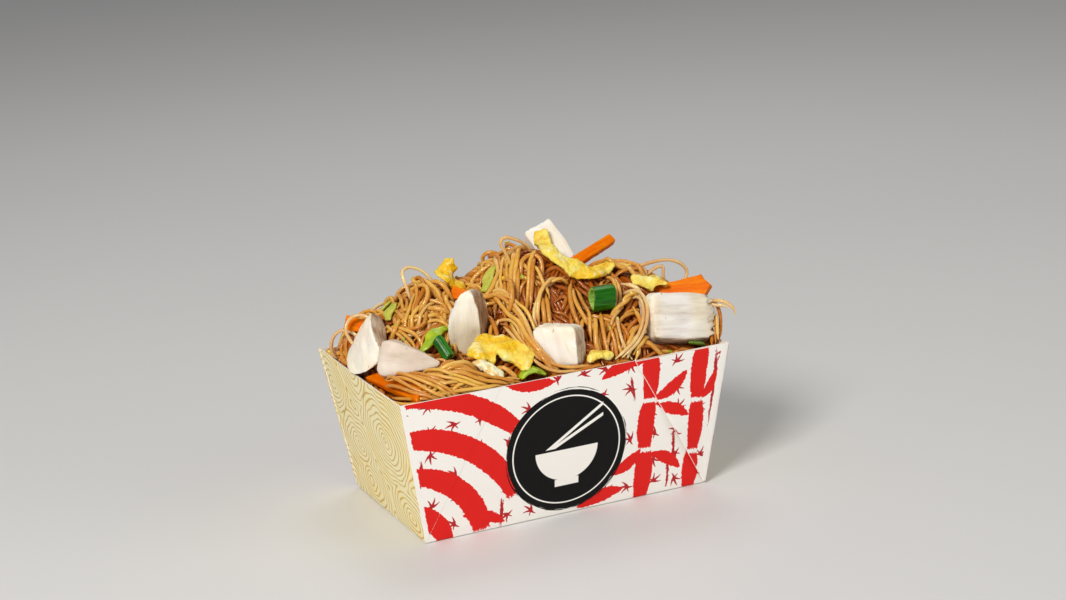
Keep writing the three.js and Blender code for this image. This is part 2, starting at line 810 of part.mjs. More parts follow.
// ---- the whole part ----
const box = new THREE.Group();

const trayMesh = new THREE.Mesh(geometryOf(traySolid()), material(colours.board, 0.55));
trayMesh.name = "carton";
box.add(trayMesh);

const made = [];
for (const topping of toppings) {
  made.push(toppingMesh(topping, [wallPocket(), ...made.map(({ pocket }) => pocket)]));
}

const noodleMesh = new THREE.Mesh(geometryOf(noodleHeap(made)), material(colours.noodles, 0.45));
noodleMesh.name = "noodles";
box.add(noodleMesh);

const toppingGroup = new THREE.Group();
made.forEach(({ mesh }) => toppingGroup.add(mesh));
box.add(toppingGroup);

export default box;
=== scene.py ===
import math
import random

import bpy
import numpy as np
from mathutils import Matrix, Vector
from mathutils import noise as fractal
from mathutils.bvhtree import BVHTree


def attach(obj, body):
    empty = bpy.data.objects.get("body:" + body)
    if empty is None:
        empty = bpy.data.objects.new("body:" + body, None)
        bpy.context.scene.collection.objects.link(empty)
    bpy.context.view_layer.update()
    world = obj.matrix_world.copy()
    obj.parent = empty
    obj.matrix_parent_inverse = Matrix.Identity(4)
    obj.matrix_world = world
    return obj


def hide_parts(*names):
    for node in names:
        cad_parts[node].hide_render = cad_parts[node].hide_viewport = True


# A noodle takeaway box: a folded paperboard tray heaped with fried noodles, chicken, omelette,
# carrot, spring onion and leek. Sizes in the dictionaries are millimetres and degrees.

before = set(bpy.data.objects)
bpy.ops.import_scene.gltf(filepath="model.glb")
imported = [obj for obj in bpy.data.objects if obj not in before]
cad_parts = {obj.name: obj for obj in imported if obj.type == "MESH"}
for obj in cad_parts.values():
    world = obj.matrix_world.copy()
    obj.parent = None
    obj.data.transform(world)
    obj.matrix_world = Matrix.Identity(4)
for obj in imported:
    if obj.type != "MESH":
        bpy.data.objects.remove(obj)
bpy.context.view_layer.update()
mm = 0.001
print("frame loaded")


def activeOnly(piece):
    bpy.ops.object.select_all(action="DESELECT")
    piece.select_set(True)
    bpy.context.view_layer.objects.active = piece


def started(primitive, **settings):
    # a new primitive, with nothing else selected
    bpy.ops.object.select_all(action="DESELECT")
    primitive(**settings)
    return bpy.context.object


def merged(pieces):
    bpy.ops.object.select_all(action="DESELECT")
    for piece in pieces:
        piece.select_set(True)
    bpy.context.view_layer.objects.active = pieces[0]
    bpy.ops.object.join()
    return pieces[0]


def applied(piece, kind, **settings):
    activeOnly(piece)
    step = piece.modifiers.new(kind.title(), kind)
    for name, value in settings.items():
        setattr(step, name, value)
    bpy.ops.object.modifier_apply(modifier=step.name)


def backToObject():
    bpy.ops.object.mode_set(mode="OBJECT")


def editAll(piece):
    activeOnly(piece)
    bpy.ops.object.mode_set(mode="EDIT")
    bpy.ops.mesh.select_all(action="SELECT")


def deselectAll(piece, mode):
    activeOnly(piece)
    bpy.ops.object.mode_set(mode="EDIT")
    bpy.ops.mesh.select_mode(type=mode)
    bpy.ops.mesh.select_all(action="DESELECT")
    backToObject()


def pickFaces(piece, test):
    # leaves the faces that pass the test selected, in edit mode
    deselectAll(piece, "FACE")
    for face in piece.data.polygons:
        face.select = bool(test(face))
    bpy.ops.object.mode_set(mode="EDIT")


def pickEdges(piece, test):
    deselectAll(piece, "EDGE")
    spots = piece.data.vertices
    for edge in piece.data.edges:
        a, b = (spots[i].co for i in edge.vertices)
        edge.select = bool(test(a, b))
    bpy.ops.object.mode_set(mode="EDIT")


def readPoints(piece, what):
    values = np.empty(len(piece.data.vertices) * 3)
    piece.data.vertices.foreach_get(what, values)
    return values.reshape(-1, 3)


def placesOf(piece):
    return readPoints(piece, "co")


def normalsOf(piece):
    return readPoints(piece, "normal")


def setPlaces(piece, places):
    piece.data.vertices.foreach_set("co", np.asarray(places, dtype=np.float64).ravel())
    piece.data.update()


def storeMask(piece, name, values):
    mask = piece.data.attributes.new(name, "FLOAT", "POINT")
    mask.data.foreach_set("value", np.asarray(values, dtype=np.float32))


def smoothed(piece, angle):
    activeOnly(piece)
    bpy.ops.object.shade_smooth_by_angle(angle=math.radians(angle))
    return piece


def facingOut(piece):
    editAll(piece)
    bpy.ops.mesh.remove_doubles(threshold=1e-6)
    bpy.ops.mesh.normals_make_consistent(inside=False)
    backToObject()


def finished(piece, name, nodes, materials):
    piece.name = name
    piece.data.name = name
    piece.data.materials.clear()
    for stuff in materials:
        piece.data.materials.append(stuff)
    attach(piece, "root")
    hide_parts(*nodes)


view = {
    "place": (-390.55, -930.95, 365.46),
    "heading": -23.177,
    "down": 15.270,
    "roll": -3.802,
    "lens": 76.826,
    "sensor": 36,
    "farthest": 20,  # in metres, as are the lamps
}
lamps = [
    {"name": "keyLight", "place": (-1.05, -0.95, 1.15), "size": 0.5, "power": 26,
     "tint": (1.0, 0.975, 0.94)},
    {"name": "fillLight", "place": (0.95, -1.05, 0.6), "size": 0.9, "power": 4.0,
     "tint": (1.0, 0.98, 0.95)},
    {"name": "rimLight", "place": (0.35, 0.7, 1.3), "size": 0.6, "power": 4,
     "tint": (1.0, 0.98, 0.95)},
]
studio = {
    "aim": (0, 0, 0.07),
    "floorSize": 6.0,
    "floorLevel": -0.0002,
    "floor": (0.74, 0.735, 0.725),
    "floorShade": 0.94,
    "cloud": 2.2,
    "grain": 260,
    "air": (0.9, 0.9, 0.92),
    "airStrength": 0.24,
}

scene = bpy.context.scene
scene.view_settings.view_transform = "Standard"

cameraData = bpy.data.cameras.new("camera")
cameraData.lens = view["lens"]
cameraData.sensor_width = view["sensor"]
cameraData.clip_end = view["farthest"]
camera = bpy.data.objects.new("camera", cameraData)
turn = (
    Matrix.Rotation(math.radians(view["heading"]), 4, "Z")
    @ Matrix.Rotation(math.radians(90 - view["down"]), 4, "X")
    @ Matrix.Rotation(math.radians(view["roll"]), 4, "Z")
)
camera.matrix_world = Matrix.Translation(Vector(view["place"]) * mm) @ turn
scene.collection.objects.link(camera)
scene.camera = camera

for lamp in lamps:
    light = bpy.data.lights.new(lamp["name"], "AREA")
    light.size = lamp["size"]
    light.energy = lamp["power"]
    light.color = lamp["tint"]
    lightObject = bpy.data.objects.new(lamp["name"], light)
    lightObject.location = lamp["place"]
    aim = Vector(studio["aim"]) - lightObject.location
    lightObject.rotation_euler = aim.to_track_quat("-Z", "Y").to_euler()
    scene.collection.objects.link(lightObject)

world = bpy.data.worlds.new("studioAir")
world.use_nodes = True
world.node_tree.nodes["Background"].inputs["Color"].default_value = (*studio["air"], 1)
world.node_tree.nodes["Background"].inputs["Strength"].default_value = studio["airStrength"]
scene.world = world


def linear(red, green, blue):
    # an sRGB colour as Blender's linear one
    def one(value):
        value /= 255
        return value / 12.92 if value <= 0.04045 else ((value + 0.055) / 1.055) ** 2.4
    return (one(red), one(green), one(blue), 1)


bench = {"tree": None}  # the node tree that is being built


def addNode(kind, **settings):
    node = bench["tree"].nodes.new(kind)
    for name, value in settings.items():
        setattr(node, name, value)
    return node


def feed(socket, value):
    # a socket is linked, a number or colour is set
    if isinstance(value, bpy.types.NodeSocket):
        bench["tree"].links.new(value, socket)
    elif value is not None:
        socket.default_value = value


def feedAll(node, **values):
    # the same by the sockets' names, with _ for a space
    for name, value in values.items():
        feed(node.inputs[name.replace("_", " ")], value)
    return node.outputs


def calc(operation, *values, clamp=False):
    node = addNode("ShaderNodeMath", operation=operation, use_clamp=clamp)
    for socket, value in zip(node.inputs, values):
        feed(socket, value)
    return node.outputs[0]


def plus(a, b):
    return calc("ADD", a, b)


def minus(a, b):
    return calc("SUBTRACT", a, b)


def times(a, b, clamp=False):
    return calc("MULTIPLY", a, b, clamp=clamp)


def absolute(a):
    return calc("ABSOLUTE", a)


def jitter(noise, amount):
    # a noise about 0 instead of a half, times the amount
    return times(minus(noise, 0.5), amount)


def strongest(masks):
    top = masks[0]
    for mask in masks[1:]:
        top = calc("MAXIMUM", top, mask)
    return top


def vectorCalc(operation, a, b=None):
    node = addNode("ShaderNodeVectorMath", operation=operation)
    for socket, value in zip(node.inputs, (a, b)):
        feed(socket, value)
    return node.outputs["Value" if operation == "LENGTH" else "Vector"]


def ramp(value, low, high, toLow=0.0, toHigh=1.0):
    node = addNode("ShaderNodeMapRange", interpolation_type="SMOOTHSTEP")
    ends = {"From_Min": low, "From_Max": high, "To_Min": toLow, "To_Max": toHigh}
    return feedAll(node, Value=value, **ends)["Result"]


def blend(share, first, second, kind="RGBA"):
    node = addNode("ShaderNodeMix", data_type=kind)
    return feedAll(node, Factor=share, A=first, B=second)["Result"]


def tinted(colour, mask, amount, other):
    # a share of another colour, where the mask is
    return blend(times(mask, amount), colour, other)


def noiseOf(where, scale, detail=3.0, rough=0.55, warp=0.0, out="Fac"):
    node = addNode("ShaderNodeTexNoise")
    looks = {"Scale": scale, "Detail": detail, "Roughness": rough, "Distortion": warp}
    return feedAll(node, Vector=where, **looks)[out]


def objectPlace():
    return addNode("ShaderNodeTexCoord").outputs["Object"]


def maskOf(name):
    return addNode("ShaderNodeAttribute", attribute_name=name).outputs["Fac"]


def bumpOf(height, strength, distance):
    node = addNode("ShaderNodeBump")
    return feedAll(node, Strength=strength, Distance=distance, Height=height)["Normal"]


def joined(x, y, z=0.0):
    return feedAll(addNode("ShaderNodeCombineXYZ"), X=x, Y=y, Z=z)["Vector"]


def split(vector):
    found = feedAll(addNode("ShaderNodeSeparateXYZ"), Vector=vector)
    return found["X"], found["Y"]


def spun(vector, degrees):
    node = addNode("ShaderNodeVectorRotate", rotation_type="Z_AXIS")
    angle = times(degrees, -math.pi / 180)
    return feedAll(node, Vector=vector, Angle=angle)["Vector"]


def newMaterial(name, **fixed):
    # fixed values are set on the shader itself
    stuff = bpy.data.materials.new(name)
    stuff.use_nodes = True
    bench["tree"] = stuff.node_tree
    shader = stuff.node_tree.nodes["Principled BSDF"]
    for socketName, value in fixed.items():
        shader.inputs[socketName.replace("_", " ")].default_value = value
    return stuff, shader


def newFood(name, seep, **fixed):
    # seep is how far red, green and blue light gets in
    depth = [v * mm for v in seep]
    return newMaterial(name, Subsurface_Radius=depth, Subsurface_Scale=1.0, **fixed)


def newGroup(name, outputs, **values):
    # a group is given a Vector and the named values, and puts out numbers
    tree = bpy.data.node_groups.new(name, "ShaderNodeTree")
    bench["tree"] = tree
    add = tree.interface.new_socket
    add("Vector", in_out="INPUT", socket_type="NodeSocketVector")
    for given, value in values.items():
        socket = add(given.replace("_", " "), in_out="INPUT", socket_type="NodeSocketFloat")
        socket.default_value = value
    for out in outputs:
        add(out, in_out="OUTPUT", socket_type="NodeSocketFloat")
    source, sink = tree.nodes.new("NodeGroupInput"), tree.nodes.new("NodeGroupOutput")
    return tree, source.outputs, sink


def useGroup(group, **values):
    return feedAll(addNode("ShaderNodeGroup", node_tree=group), **values)


def makeMottle():
    # soft blotches with finer speckle on top, for anything cooked
    scales = {"Blotch_Scale": 120.0, "Speckle_Scale": 900.0}
    tree, given, out = newGroup("mottle", ["Blotch", "Speckle"], **scales)
    blotch = noiseOf(given["Vector"], given["Blotch Scale"], 4, 0.6, 0.4)
    speckle = noiseOf(given["Vector"], given["Speckle Scale"], 3, 0.65)
    blotch, speckle = ramp(blotch, 0.35, 0.65), ramp(speckle, 0.4, 0.68)
    feedAll(out, Blotch=blotch, Speckle=speckle)
    return tree


def makeFibres():
    # long threads that run along the piece's own grain, kept in its grain map
    tree, given, out = newGroup("fibres", ["Thread", "Strand"], Fineness=1.0)
    fine = vectorCalc("MULTIPLY", given["Vector"], (14, 230, 230))
    coarse = vectorCalc("MULTIPLY", given["Vector"], (7, 70, 70))
    thread = noiseOf(fine, given["Fineness"], 3, 0.6, 0.2)
    strand = noiseOf(coarse, given["Fineness"], 3, 0.5, 0.6)
    feedAll(out, Thread=thread, Strand=strand)
    return tree


mottle = makeMottle()
fibres = makeFibres()


def spotsOn(place, blotchScale, speckleScale):
    scales = {"Blotch_Scale": blotchScale, "Speckle_Scale": speckleScale}
    return useGroup(mottle, Vector=place, **scales)


def makeFloor():
    floor = started(bpy.ops.mesh.primitive_plane_add, size=studio["floorSize"],
                    location=(0, 0, studio["floorLevel"]))
    floor.name = "floor"
    bpy.ops.object.transform_apply(location=True, rotation=True, scale=True)
    stuff, shader = newMaterial("studioFloor", Roughness=0.55)
    place = objectPlace()
    shaded = tuple(v * studio["floorShade"] for v in studio["floor"]) + (1,)
    cloud = noiseOf(place, studio["cloud"], 2)
    colour = blend(cloud, (*studio["floor"], 1), shaded)
    bump = bumpOf(noiseOf(place, studio["grain"]), 0.04, 0.001)
    feedAll(shader, Base_Color=colour, Normal=bump)
    floor.data.materials.append(stuff)


makeFloor()
print("studio ready")

tray = {
    "height": 68.5,
    "topLength": 160,
    "topWidth": 106.5,
    "baseLength": 139.5,
    "baseWidth": 86.5,
    "board": 0.5,
    "foldRound": 0.7,
    "bulge": 0.5,  # the walls belly out a little at their middle
    "rimBulge": 0.35,
    "webStart": 1.5,
    "webBoard": 0.42,
    "webRows": 30,
    "webLayer": 14,  # columns across each layer of a web
    "webTurn": 7,  # and round its fold
}
# The four folded webs, by the end and the long panel they lie on: how far each springs off its
# panel, how far its print is off the panel's, how thick the pressed board still looks, and where
# the print is cracked along the fold.
webs = [
    {"end": -1, "front": -1, "lift": 0.0, "shift": (0.0, 0.0), "press": 0.1, "crack": (0.03, 0.27)},
    {"end": 1, "front": -1, "lift": 1.2, "shift": (1.6, 1.1), "press": 1.0, "crack": (0.0, 1.0)},
    {"end": -1, "front": 1, "lift": 0.7, "shift": (1.0, 0.6), "press": 0.8, "crack": (0.0, 1.0)},
    {"end": 1, "front": 1, "lift": 0.4, "shift": (-0.8, 0.7), "press": 0.7, "crack": (0.0, 0.6)},
]
flare = (tray["topLength"] - tray["baseLength"]) / 2
lean = (tray["topWidth"] - tray["baseWidth"]) / 2
slant = math.hypot(tray["height"], lean)
endSlant = math.hypot(tray["height"], flare)


def halfLength(z):
    return tray["baseLength"] / 2 + flare * z / tray["height"]


def halfWidth(z):
    return tray["baseWidth"] / 2 + lean * z / tray["height"]


def bellyAt(up):
    # up runs from 0 at the foot to 1 at the rim
    return tray["bulge"] * np.sin(np.pi * np.clip(up, 0, 1) ** 0.8) + tray["rimBulge"] * up


def makeTrayWalls():
    walls = started(bpy.ops.mesh.primitive_cube_add, size=1)
    places = placesOf(walls)
    z = np.where(places[:, 2] > 0, tray["height"], 0.0)
    places[:, 0] *= 2 * halfLength(z)
    places[:, 1] *= 2 * halfWidth(z)
    places[:, 2] = z
    setPlaces(walls, places * mm)
    pickFaces(walls, lambda face: face.normal.z > 0.9)
    bpy.ops.mesh.delete(type="ONLY_FACE")
    backToObject()
    rim = tray["height"] * mm - 1e-5
    # the standing folds and the folds round the base are softly rounded
    pickEdges(walls, lambda a, b: not (a.z > rim and b.z > rim))
    bpy.ops.mesh.bevel(offset=tray["foldRound"] * mm, segments=3, affect="EDGES")
    backToObject()
    panelArea = 400 * mm * mm
    pickFaces(walls, lambda face: face.area > panelArea)
    bpy.ops.mesh.subdivide(number_cuts=11)
    backToObject()
    facingOut(walls)
    # a slight belly, and the uneven line of a rim that was folded by hand
    places = placesOf(walls) / mm
    x, y, z = places.T
    belly = bellyAt(np.clip(z / tray["height"], 0, 1))
    alongX = np.clip(1 - (x / halfLength(z)) ** 2, 0, 1)
    alongY = np.clip(1 - (y / halfWidth(z)) ** 2, 0, 1)
    onLong = np.abs(np.abs(y) - halfWidth(z)) < 0.3
    onEnd = np.abs(np.abs(x) - halfLength(z)) < 0.3
    places[:, 1] += np.where(onLong, np.sign(y) * belly * alongX, 0)
    places[:, 0] += np.where(onEnd, np.sign(x) * belly * alongY, 0)
    setPlaces(walls, places * mm)
    # the outside stays where it is and the board's thickness goes inwards
    applied(walls, "SOLIDIFY", thickness=tray["board"] * mm, offset=-1, use_even_offset=True,
            use_quality_normals=True)
    return walls


def webPlaces(web):
    # One web, folded in half and laid flat outside the long panel. Across the strip it runs from
    # the corner along its inner layer to the diagonal fold, back along the outer layer and round
    # the corner.
    panelFlare = math.atan2(flare, slant)
    webAngle = math.pi / 2 - panelFlare - math.atan2(lean, endSlant)
    foldLean = webAngle / 2 - panelFlare
    layer, turnRound = tray["webLayer"], tray["webTurn"]
    board, press = tray["board"], web["press"]
    roundCorner = ((0.05, 0.72), (0.3, 0.45), (0.36, 0.05), (0.3, -0.5), (0.22, -1.2))
    out = []
    for i in range(tray["webRows"] + 1):
        share = i / tray["webRows"]
        v = tray["webStart"] + share * (slant - tray["webStart"])
        corner = tray["baseLength"] / 2 + flare * v / slant
        fold = tray["baseLength"] / 2 - v * math.tan(foldLean)
        spring = 0
        if share < 0.74:
            spring = web["lift"] * math.sin(math.pi * min(1, share * 1.35)) ** 2
        spring += 0.12 * web["press"]
        line = []
        for k in range(layer):  # inner layer, from the corner to the fold
            t = k / layer
            line.append((corner - 0.3 + (fold + board - corner + 0.3) * t,
                         0.32 * press + spring * t ** 2.2))
        for k in range(turnRound + 1):  # the rounded fold
            a = math.pi * k / turnRound
            line.append((fold + board * (1 - 0.9 * math.sin(a)),
                         (0.57 - 0.25 * math.cos(a)) * press + spring))
        for k in range(1, layer + 1):  # outer layer, back to the corner
            t = k / layer
            line.append((fold + board + (corner - 0.5 - fold - board) * t,
                         0.82 * press + spring * (1 - t) ** 2.2))
        for a, b in roundCorner:
            line.append((corner + (a - 0.05) * press, b if b < 0 else b * press))
        out.append([(x, v, n) for x, n in line])
    return out


def makeWeb(made):
    grid = webPlaces(made)
    rows, columns = len(grid), len(grid[0])
    web = started(bpy.ops.mesh.primitive_grid_add, x_subdivisions=columns - 1,
                  y_subdivisions=rows - 1, size=2)
    tilt = math.atan2(lean, tray["height"])
    places = placesOf(web)
    column = np.rint((places[:, 0] + 1) / 2 * (columns - 1)).astype(int)
    row = np.rint((places[:, 1] + 1) / 2 * (rows - 1)).astype(int)
    x, v, n = np.array(grid)[row, column].T
    n = n + bellyAt(v / slant) * np.clip(1 - (x / halfLength(v * math.cos(tilt))) ** 2, 0, 1)
    placed = np.stack([
        made["end"] * x,
        made["front"] * (tray["baseWidth"] / 2 + v * math.sin(tilt) + n * math.cos(tilt)),
        v * math.cos(tilt) - n * math.sin(tilt),
    ], axis=1)
    setPlaces(web, placed * mm)
    first, last = made["crack"]
    cracked = (row / (rows - 1) >= first) & (row / (rows - 1) <= last)
    foldColumn = tray["webLayer"] + tray["webTurn"] / 2
    storeMask(web, "foldLine", np.exp(-((column - foldColumn) / 1.6) ** 2) * cracked)
    applied(web, "SOLIDIFY", thickness=tray["webBoard"] * made["press"] * mm, offset=0)
    facingOut(web)
    storeMask(web, "onWeb", np.ones(len(web.data.vertices)))
    return web


def makeTray():
    walls = makeTrayWalls()
    walls = merged([walls] + [makeWeb(made) for made in webs])
    shifts = {(made["end"], made["front"]): made["shift"] for made in webs}
    # each panel's own flat coordinates, in decimetres, and its kind of print
    flatMap = walls.data.uv_layers.new(name="panel")
    mesh = walls.data
    webMask = np.array([v.value for v in mesh.attributes["onWeb"].data])
    kinds = []
    for face in mesh.polygons:
        c, n = face.center / mm, face.normal
        right, back = (1 if c.x > 0 else -1), (1 if c.y > 0 else -1)
        long = abs(n.y) > 0.6 and n.y * c.y > 0 and halfWidth(c.z) - abs(c.y) < 0.25
        end = abs(n.x) > 0.6 and n.x * c.x > 0 and halfLength(c.z) - abs(c.x) < 0.25
        kinds.append(1 if long else 2 if end else 0)
        shiftU, shiftV = shifts[(right, back)] if webMask[face.vertices[0]] > 0.5 else (0, 0)
        for loop in face.loop_indices:
            p = mesh.vertices[mesh.loops[loop].vertex_index].co / mm
            if end:
                u, v = p.y * right, p.z * endSlant / tray["height"]
            else:
                u, v = p.x * (1 if c.y < 0 else -1) + shiftU, p.z * slant / tray["height"] + shiftV
            flatMap.data[loop].uv = (u / 100, v / 100)
    return smoothed(walls, 35), kinds


def inkedEdge(given, share, along, across, seed):
    # share runs from 0 to 1 along a stroke. Its edges are ragged and its far end runs dry.
    across = plus(across, jitter(noiseOf(given["Vector"], 0.7, 3, 0.6), 2.0))
    drying = times(ramp(share, 0.6, 1.05), 0.28)
    brush = minus(ramp(share, -0.02, 0.22, 0.78, 1.0), drying)
    room = calc("MAXIMUM", times(share, minus(1.0, share)), 0.0)
    leaf = calc("POWER", times(room, 4.0), 0.8)
    half = times(given["Width"], blend(given["Point"], brush, leaf, "FLOAT"))
    inside = ramp(minus(half, absolute(across)), -0.1, 0.12)
    lanes = joined(times(along, 0.05), times(across, 1.7), seed)
    streak = noiseOf(lanes, 1.0, 3, 0.6)
    reach = plus(share, jitter(streak, given["Dryness"]))
    ends = times(ramp(reach, -0.02, 0.0), ramp(reach, 1.0, 0.985))
    return times(inside, ends, clamp=True)


def makeBrushStroke():
    # one stroke of wet ink along a bent line. Point turns it from a bar into a leaf.
    tree, given, out = newGroup("brushStroke", ["Mask"], Start_X=0.0, Start_Y=0.0, Angle=0.0,
                                Length=20.0, Width=4.0, Bend=0.0, Dryness=0.3, Point=0.0)
    start = joined(given["Start X"], given["Start Y"])
    moved = vectorCalc("SUBTRACT", given["Vector"], start)
    x, y = split(spun(moved, given["Angle"]))
    share = calc("DIVIDE", x, given["Length"])
    arch = times(share, minus(1.0, share))
    across = minus(y, times(arch, times(given["Bend"], 4.0)))
    feedAll(out, Mask=inkedEdge(given, share, x, across, given["Start X"]))
    return tree


def makeBrushArc():
    # one stroke of wet ink round a centre, between two angles
    tree, given, out = newGroup("brushArc", ["Mask"], Centre_X=0.0, Centre_Y=0.0, Radius=20.0,
                                From=0.0, To=90.0, Width=4.0, Dryness=0.2, Point=0.0)
    centre = joined(given["Centre X"], given["Centre Y"])
    moved = vectorCalc("SUBTRACT", given["Vector"], centre)
    x, y = split(moved)
    degrees = times(calc("ARCTAN2", y, x), 180 / math.pi)
    sweep = minus(given["To"], given["From"])
    share = calc("DIVIDE", minus(degrees, given["From"]), sweep)
    along = times(times(degrees, math.pi / 180), given["Radius"])
    across = minus(vectorCalc("LENGTH", moved), given["Radius"])
    feedAll(out, Mask=inkedEdge(given, share, along, across, given["Radius"]))
    return tree


def makeBlade():
    # one thin pointed dab from the middle of a sprig
    tree, given, out = newGroup("blade", ["Mask"], Angle=0.0, Length=4.0, Width=0.6)
    x, y = split(spun(given["Vector"], given["Angle"]))
    share = calc("DIVIDE", x, given["Length"])
    across = absolute(minus(y, times(times(x, share), 0.28)))
    ragged = jitter(noiseOf(given["Vector"], 1.6, 2), 0.7)
    room = calc("MAXIMUM", minus(1.0, share), 0.0)
    half = times(given["Width"], calc("POWER", room, 0.6))
    inside = ramp(plus(minus(half, across), ragged), -0.08, 0.1)
    kept = times(ramp(share, -0.14, -0.06), ramp(share, 1.0, 0.96))
    feedAll(out, Mask=times(inside, kept, clamp=True))
    return tree


brushStroke = makeBrushStroke()
brushArc = makeBrushArc()
blade = makeBlade()

# angle, length and half width of the blades of a sprig
sprigBlades = [(-54, 4.4, 0.74), (-12, 4.9, 0.8), (34, 4.2, 0.7), (172, 2.8, 0.6), (96, 2.6, 0.52)]


def makeSprigs():
    # small sprigs of thin blades, at most one to a cell, each turned its own way
    tree, given, out = newGroup("sprigs", ["Mask"], Cell=10.5, Share=0.6)
    perMm = calc("DIVIDE", 1.0, given["Cell"])
    scaled = vectorCalc("MULTIPLY", given["Vector"], joined(perMm, perMm))
    inCell = vectorCalc("SUBTRACT", vectorCalc("FRACTION", scaled), (0.5, 0.5, 0))
    local = vectorCalc("MULTIPLY", inCell, joined(given["Cell"], given["Cell"]))
    dice = addNode("ShaderNodeTexWhiteNoise", noise_dimensions="3D")
    rolled = feedAll(dice, Vector=vectorCalc("FLOOR", scaled))
    draws = feedAll(addNode("ShaderNodeSeparateColor"), Color=rolled["Color"])
    shifts = [calc("MULTIPLY_ADD", draws[name], 2.4, -1.2) for name in ("Red", "Green")]
    moved = vectorCalc("SUBTRACT", local, joined(*shifts))
    turned = spun(moved, times(draws["Blue"], 360.0))
    dabs = [useGroup(blade, Vector=turned, Angle=angle, Length=length, Width=width)["Mask"]
            for angle, length, width in sprigBlades]
    kept = calc("LESS_THAN", rolled["Value"], given["Share"])
    feedAll(out, Mask=times(strongest(dabs), kept, clamp=True))
    return tree


# place and head start of the hearts that the rings grow round
ringHearts = [(21, 44, 0.0), (-22, 29, 7.0), (-15, 12, 9.0), (33, 8, 8.0), (-6, 70, 9.0),
              (-44, 56, 8.0), (-46, 4, 9.0)]


def makeGrainRings():
    # growth rings round a few hearts, as a mask of thin lines
    tree, given, out = newGroup("grainRings", ["Line", "Glow"], Spacing=2.3)
    warp = noiseOf(given["Vector"], 0.055, 1.5, 0.5, out="Color")
    push = vectorCalc("SUBTRACT", warp, (0.5, 0.5, 0.5))
    push = vectorCalc("MULTIPLY", push, (9.0, 9.0, 0.0))
    wobbled = vectorCalc("ADD", given["Vector"], push)
    near = None
    for u, v, behind in ringHearts:
        away = vectorCalc("SUBTRACT", wobbled, (u, v, 0))
        away = vectorCalc("MULTIPLY", away, (0.8, 1.0, 0.0))
        distance = plus(vectorCalc("LENGTH", away), behind)
        near = distance if near is None else calc("SMOOTH_MIN", near, distance, 3.0)
    wave = calc("FRACT", calc("DIVIDE", near, given["Spacing"]))
    ridge = absolute(minus(wave, 0.5))
    feedAll(out, Line=ramp(ridge, 0.16, 0.06), Glow=ramp(ridge, 0.44, 0.1))
    return tree


sprigs = makeSprigs()
grainRings = makeGrainRings()

boardLook = {
    "white": linear(250, 247, 240),
    "kraft": linear(240, 234, 220),
    "fleck": linear(196, 184, 160),
    "cream": linear(248, 236, 186),
    "butter": linear(248, 216, 104),
    "red": linear(226, 30, 24),
    "darkRed": linear(184, 32, 40),
    "black": linear(5, 5, 5),
    "gold": linear(196, 158, 66),
    "ringSpacing": 2.45,
    "sprigCell": 12.2,
    "sprigShare": 0.78,
    "margin": 2.4,  # how far the print stays off the corners
}
# The print on the long panels, in millimetres from the middle of the panel's foot. Ripples of ink:
# centre u, v, radius, from and to which angle, half width, dryness.
ripples = [
    (-80, -4, 20, 78, 4, 4.8, 0.1),
    (-81, -4, 38.5, 8, 84, 5.2, 0.1),
    (-80, -5, 57, 88, 20, 5.4, 0.1),
    (-80, -4, 75, 44, 90, 4.7, 0.12),
]
# Canes and leaves: start u, v, angle, length, half width, bend, dryness, and 1 for a pointed leaf.
strokes = [
    (42, 72, -94, 23, 4.5, 0.5, 0.14, 0), (40, 47, -95, 22.5, 4.3, -0.6, 0.14, 0),
    (38, 22.5, -95, 23, 4.5, 0.4, 0.2, 0), (68, 72, -95, 26, 4.2, -0.5, 0.14, 0),
    (65.5, 44, -95, 23.5, 4.0, 0.5, 0.14, 0), (63, 18.5, -96, 19, 4.2, 0, 0.2, 0),
    (43, 49.5, 34, 21, 3.2, -1.8, 0.25, 1), (43, 46, -22, 20, 3.0, 1.6, 0.25, 1),
    (68, 45.5, 58, 17, 2.7, -1.2, 0.25, 1), (41, 21.5, -34, 19, 3.0, 1.4, 0.25, 1),
    (36, 24.5, 214, 18, 3.0, 1.4, 0.25, 1), (39, 70, 196, 24, 3.4, -1.6, 0.25, 1),
    (-6, 67, 172, 26, 3.3, 1.4, 0.25, 1), (4, 1.5, 12, 24, 3.4, 1.2, 0.25, 1),
    (-52, 10, -20, 22, 3.0, 1.4, 0.25, 1),
]
# Thin dry lines of darker ink, told in the same way.
dryLines = [
    (-71, 40, -96, 15, 0.8, 0.4, 0.9, 0), (-33, 14, -94, 13, 0.8, 0.3, 0.9, 0),
    (53, 30, -88, 17, 0.8, -0.4, 0.9, 0), (75.5, 68, -95, 34, 0.9, 0.3, 0.9, 0),
    (30.5, 62, -80, 12, 0.7, 0.3, 0.9, 0), (50, 14, -92, 12, 0.7, 0.4, 0.9, 0),
]
seal = {"u": -1.2, "v": 32.2, "radius": 29.8, "ring": 26.3, "ringWidth": 0.42, "bristles": 6.0}
bowl = {"radius": 15.5, "top": 0.5, "foot": 6.0, "footRise": 1.9}
sticks = {"lines": [(0.66, 7.6), (0.5, 5.2)], "half": 0.95, "reach": 18.2}  # slope and rise of each


def panelPlace():
    # the panel's flat coordinates in millimetres
    flat = addNode("ShaderNodeUVMap", uv_map="panel").outputs["UV"]
    scaled = vectorCalc("SCALE", flat)
    scaled.node.inputs["Scale"].default_value = 100.0
    return scaled


def boardBump(place):
    return bumpOf(noiseOf(place, 1.6, 4, 0.65), 0.12, 0.0002)


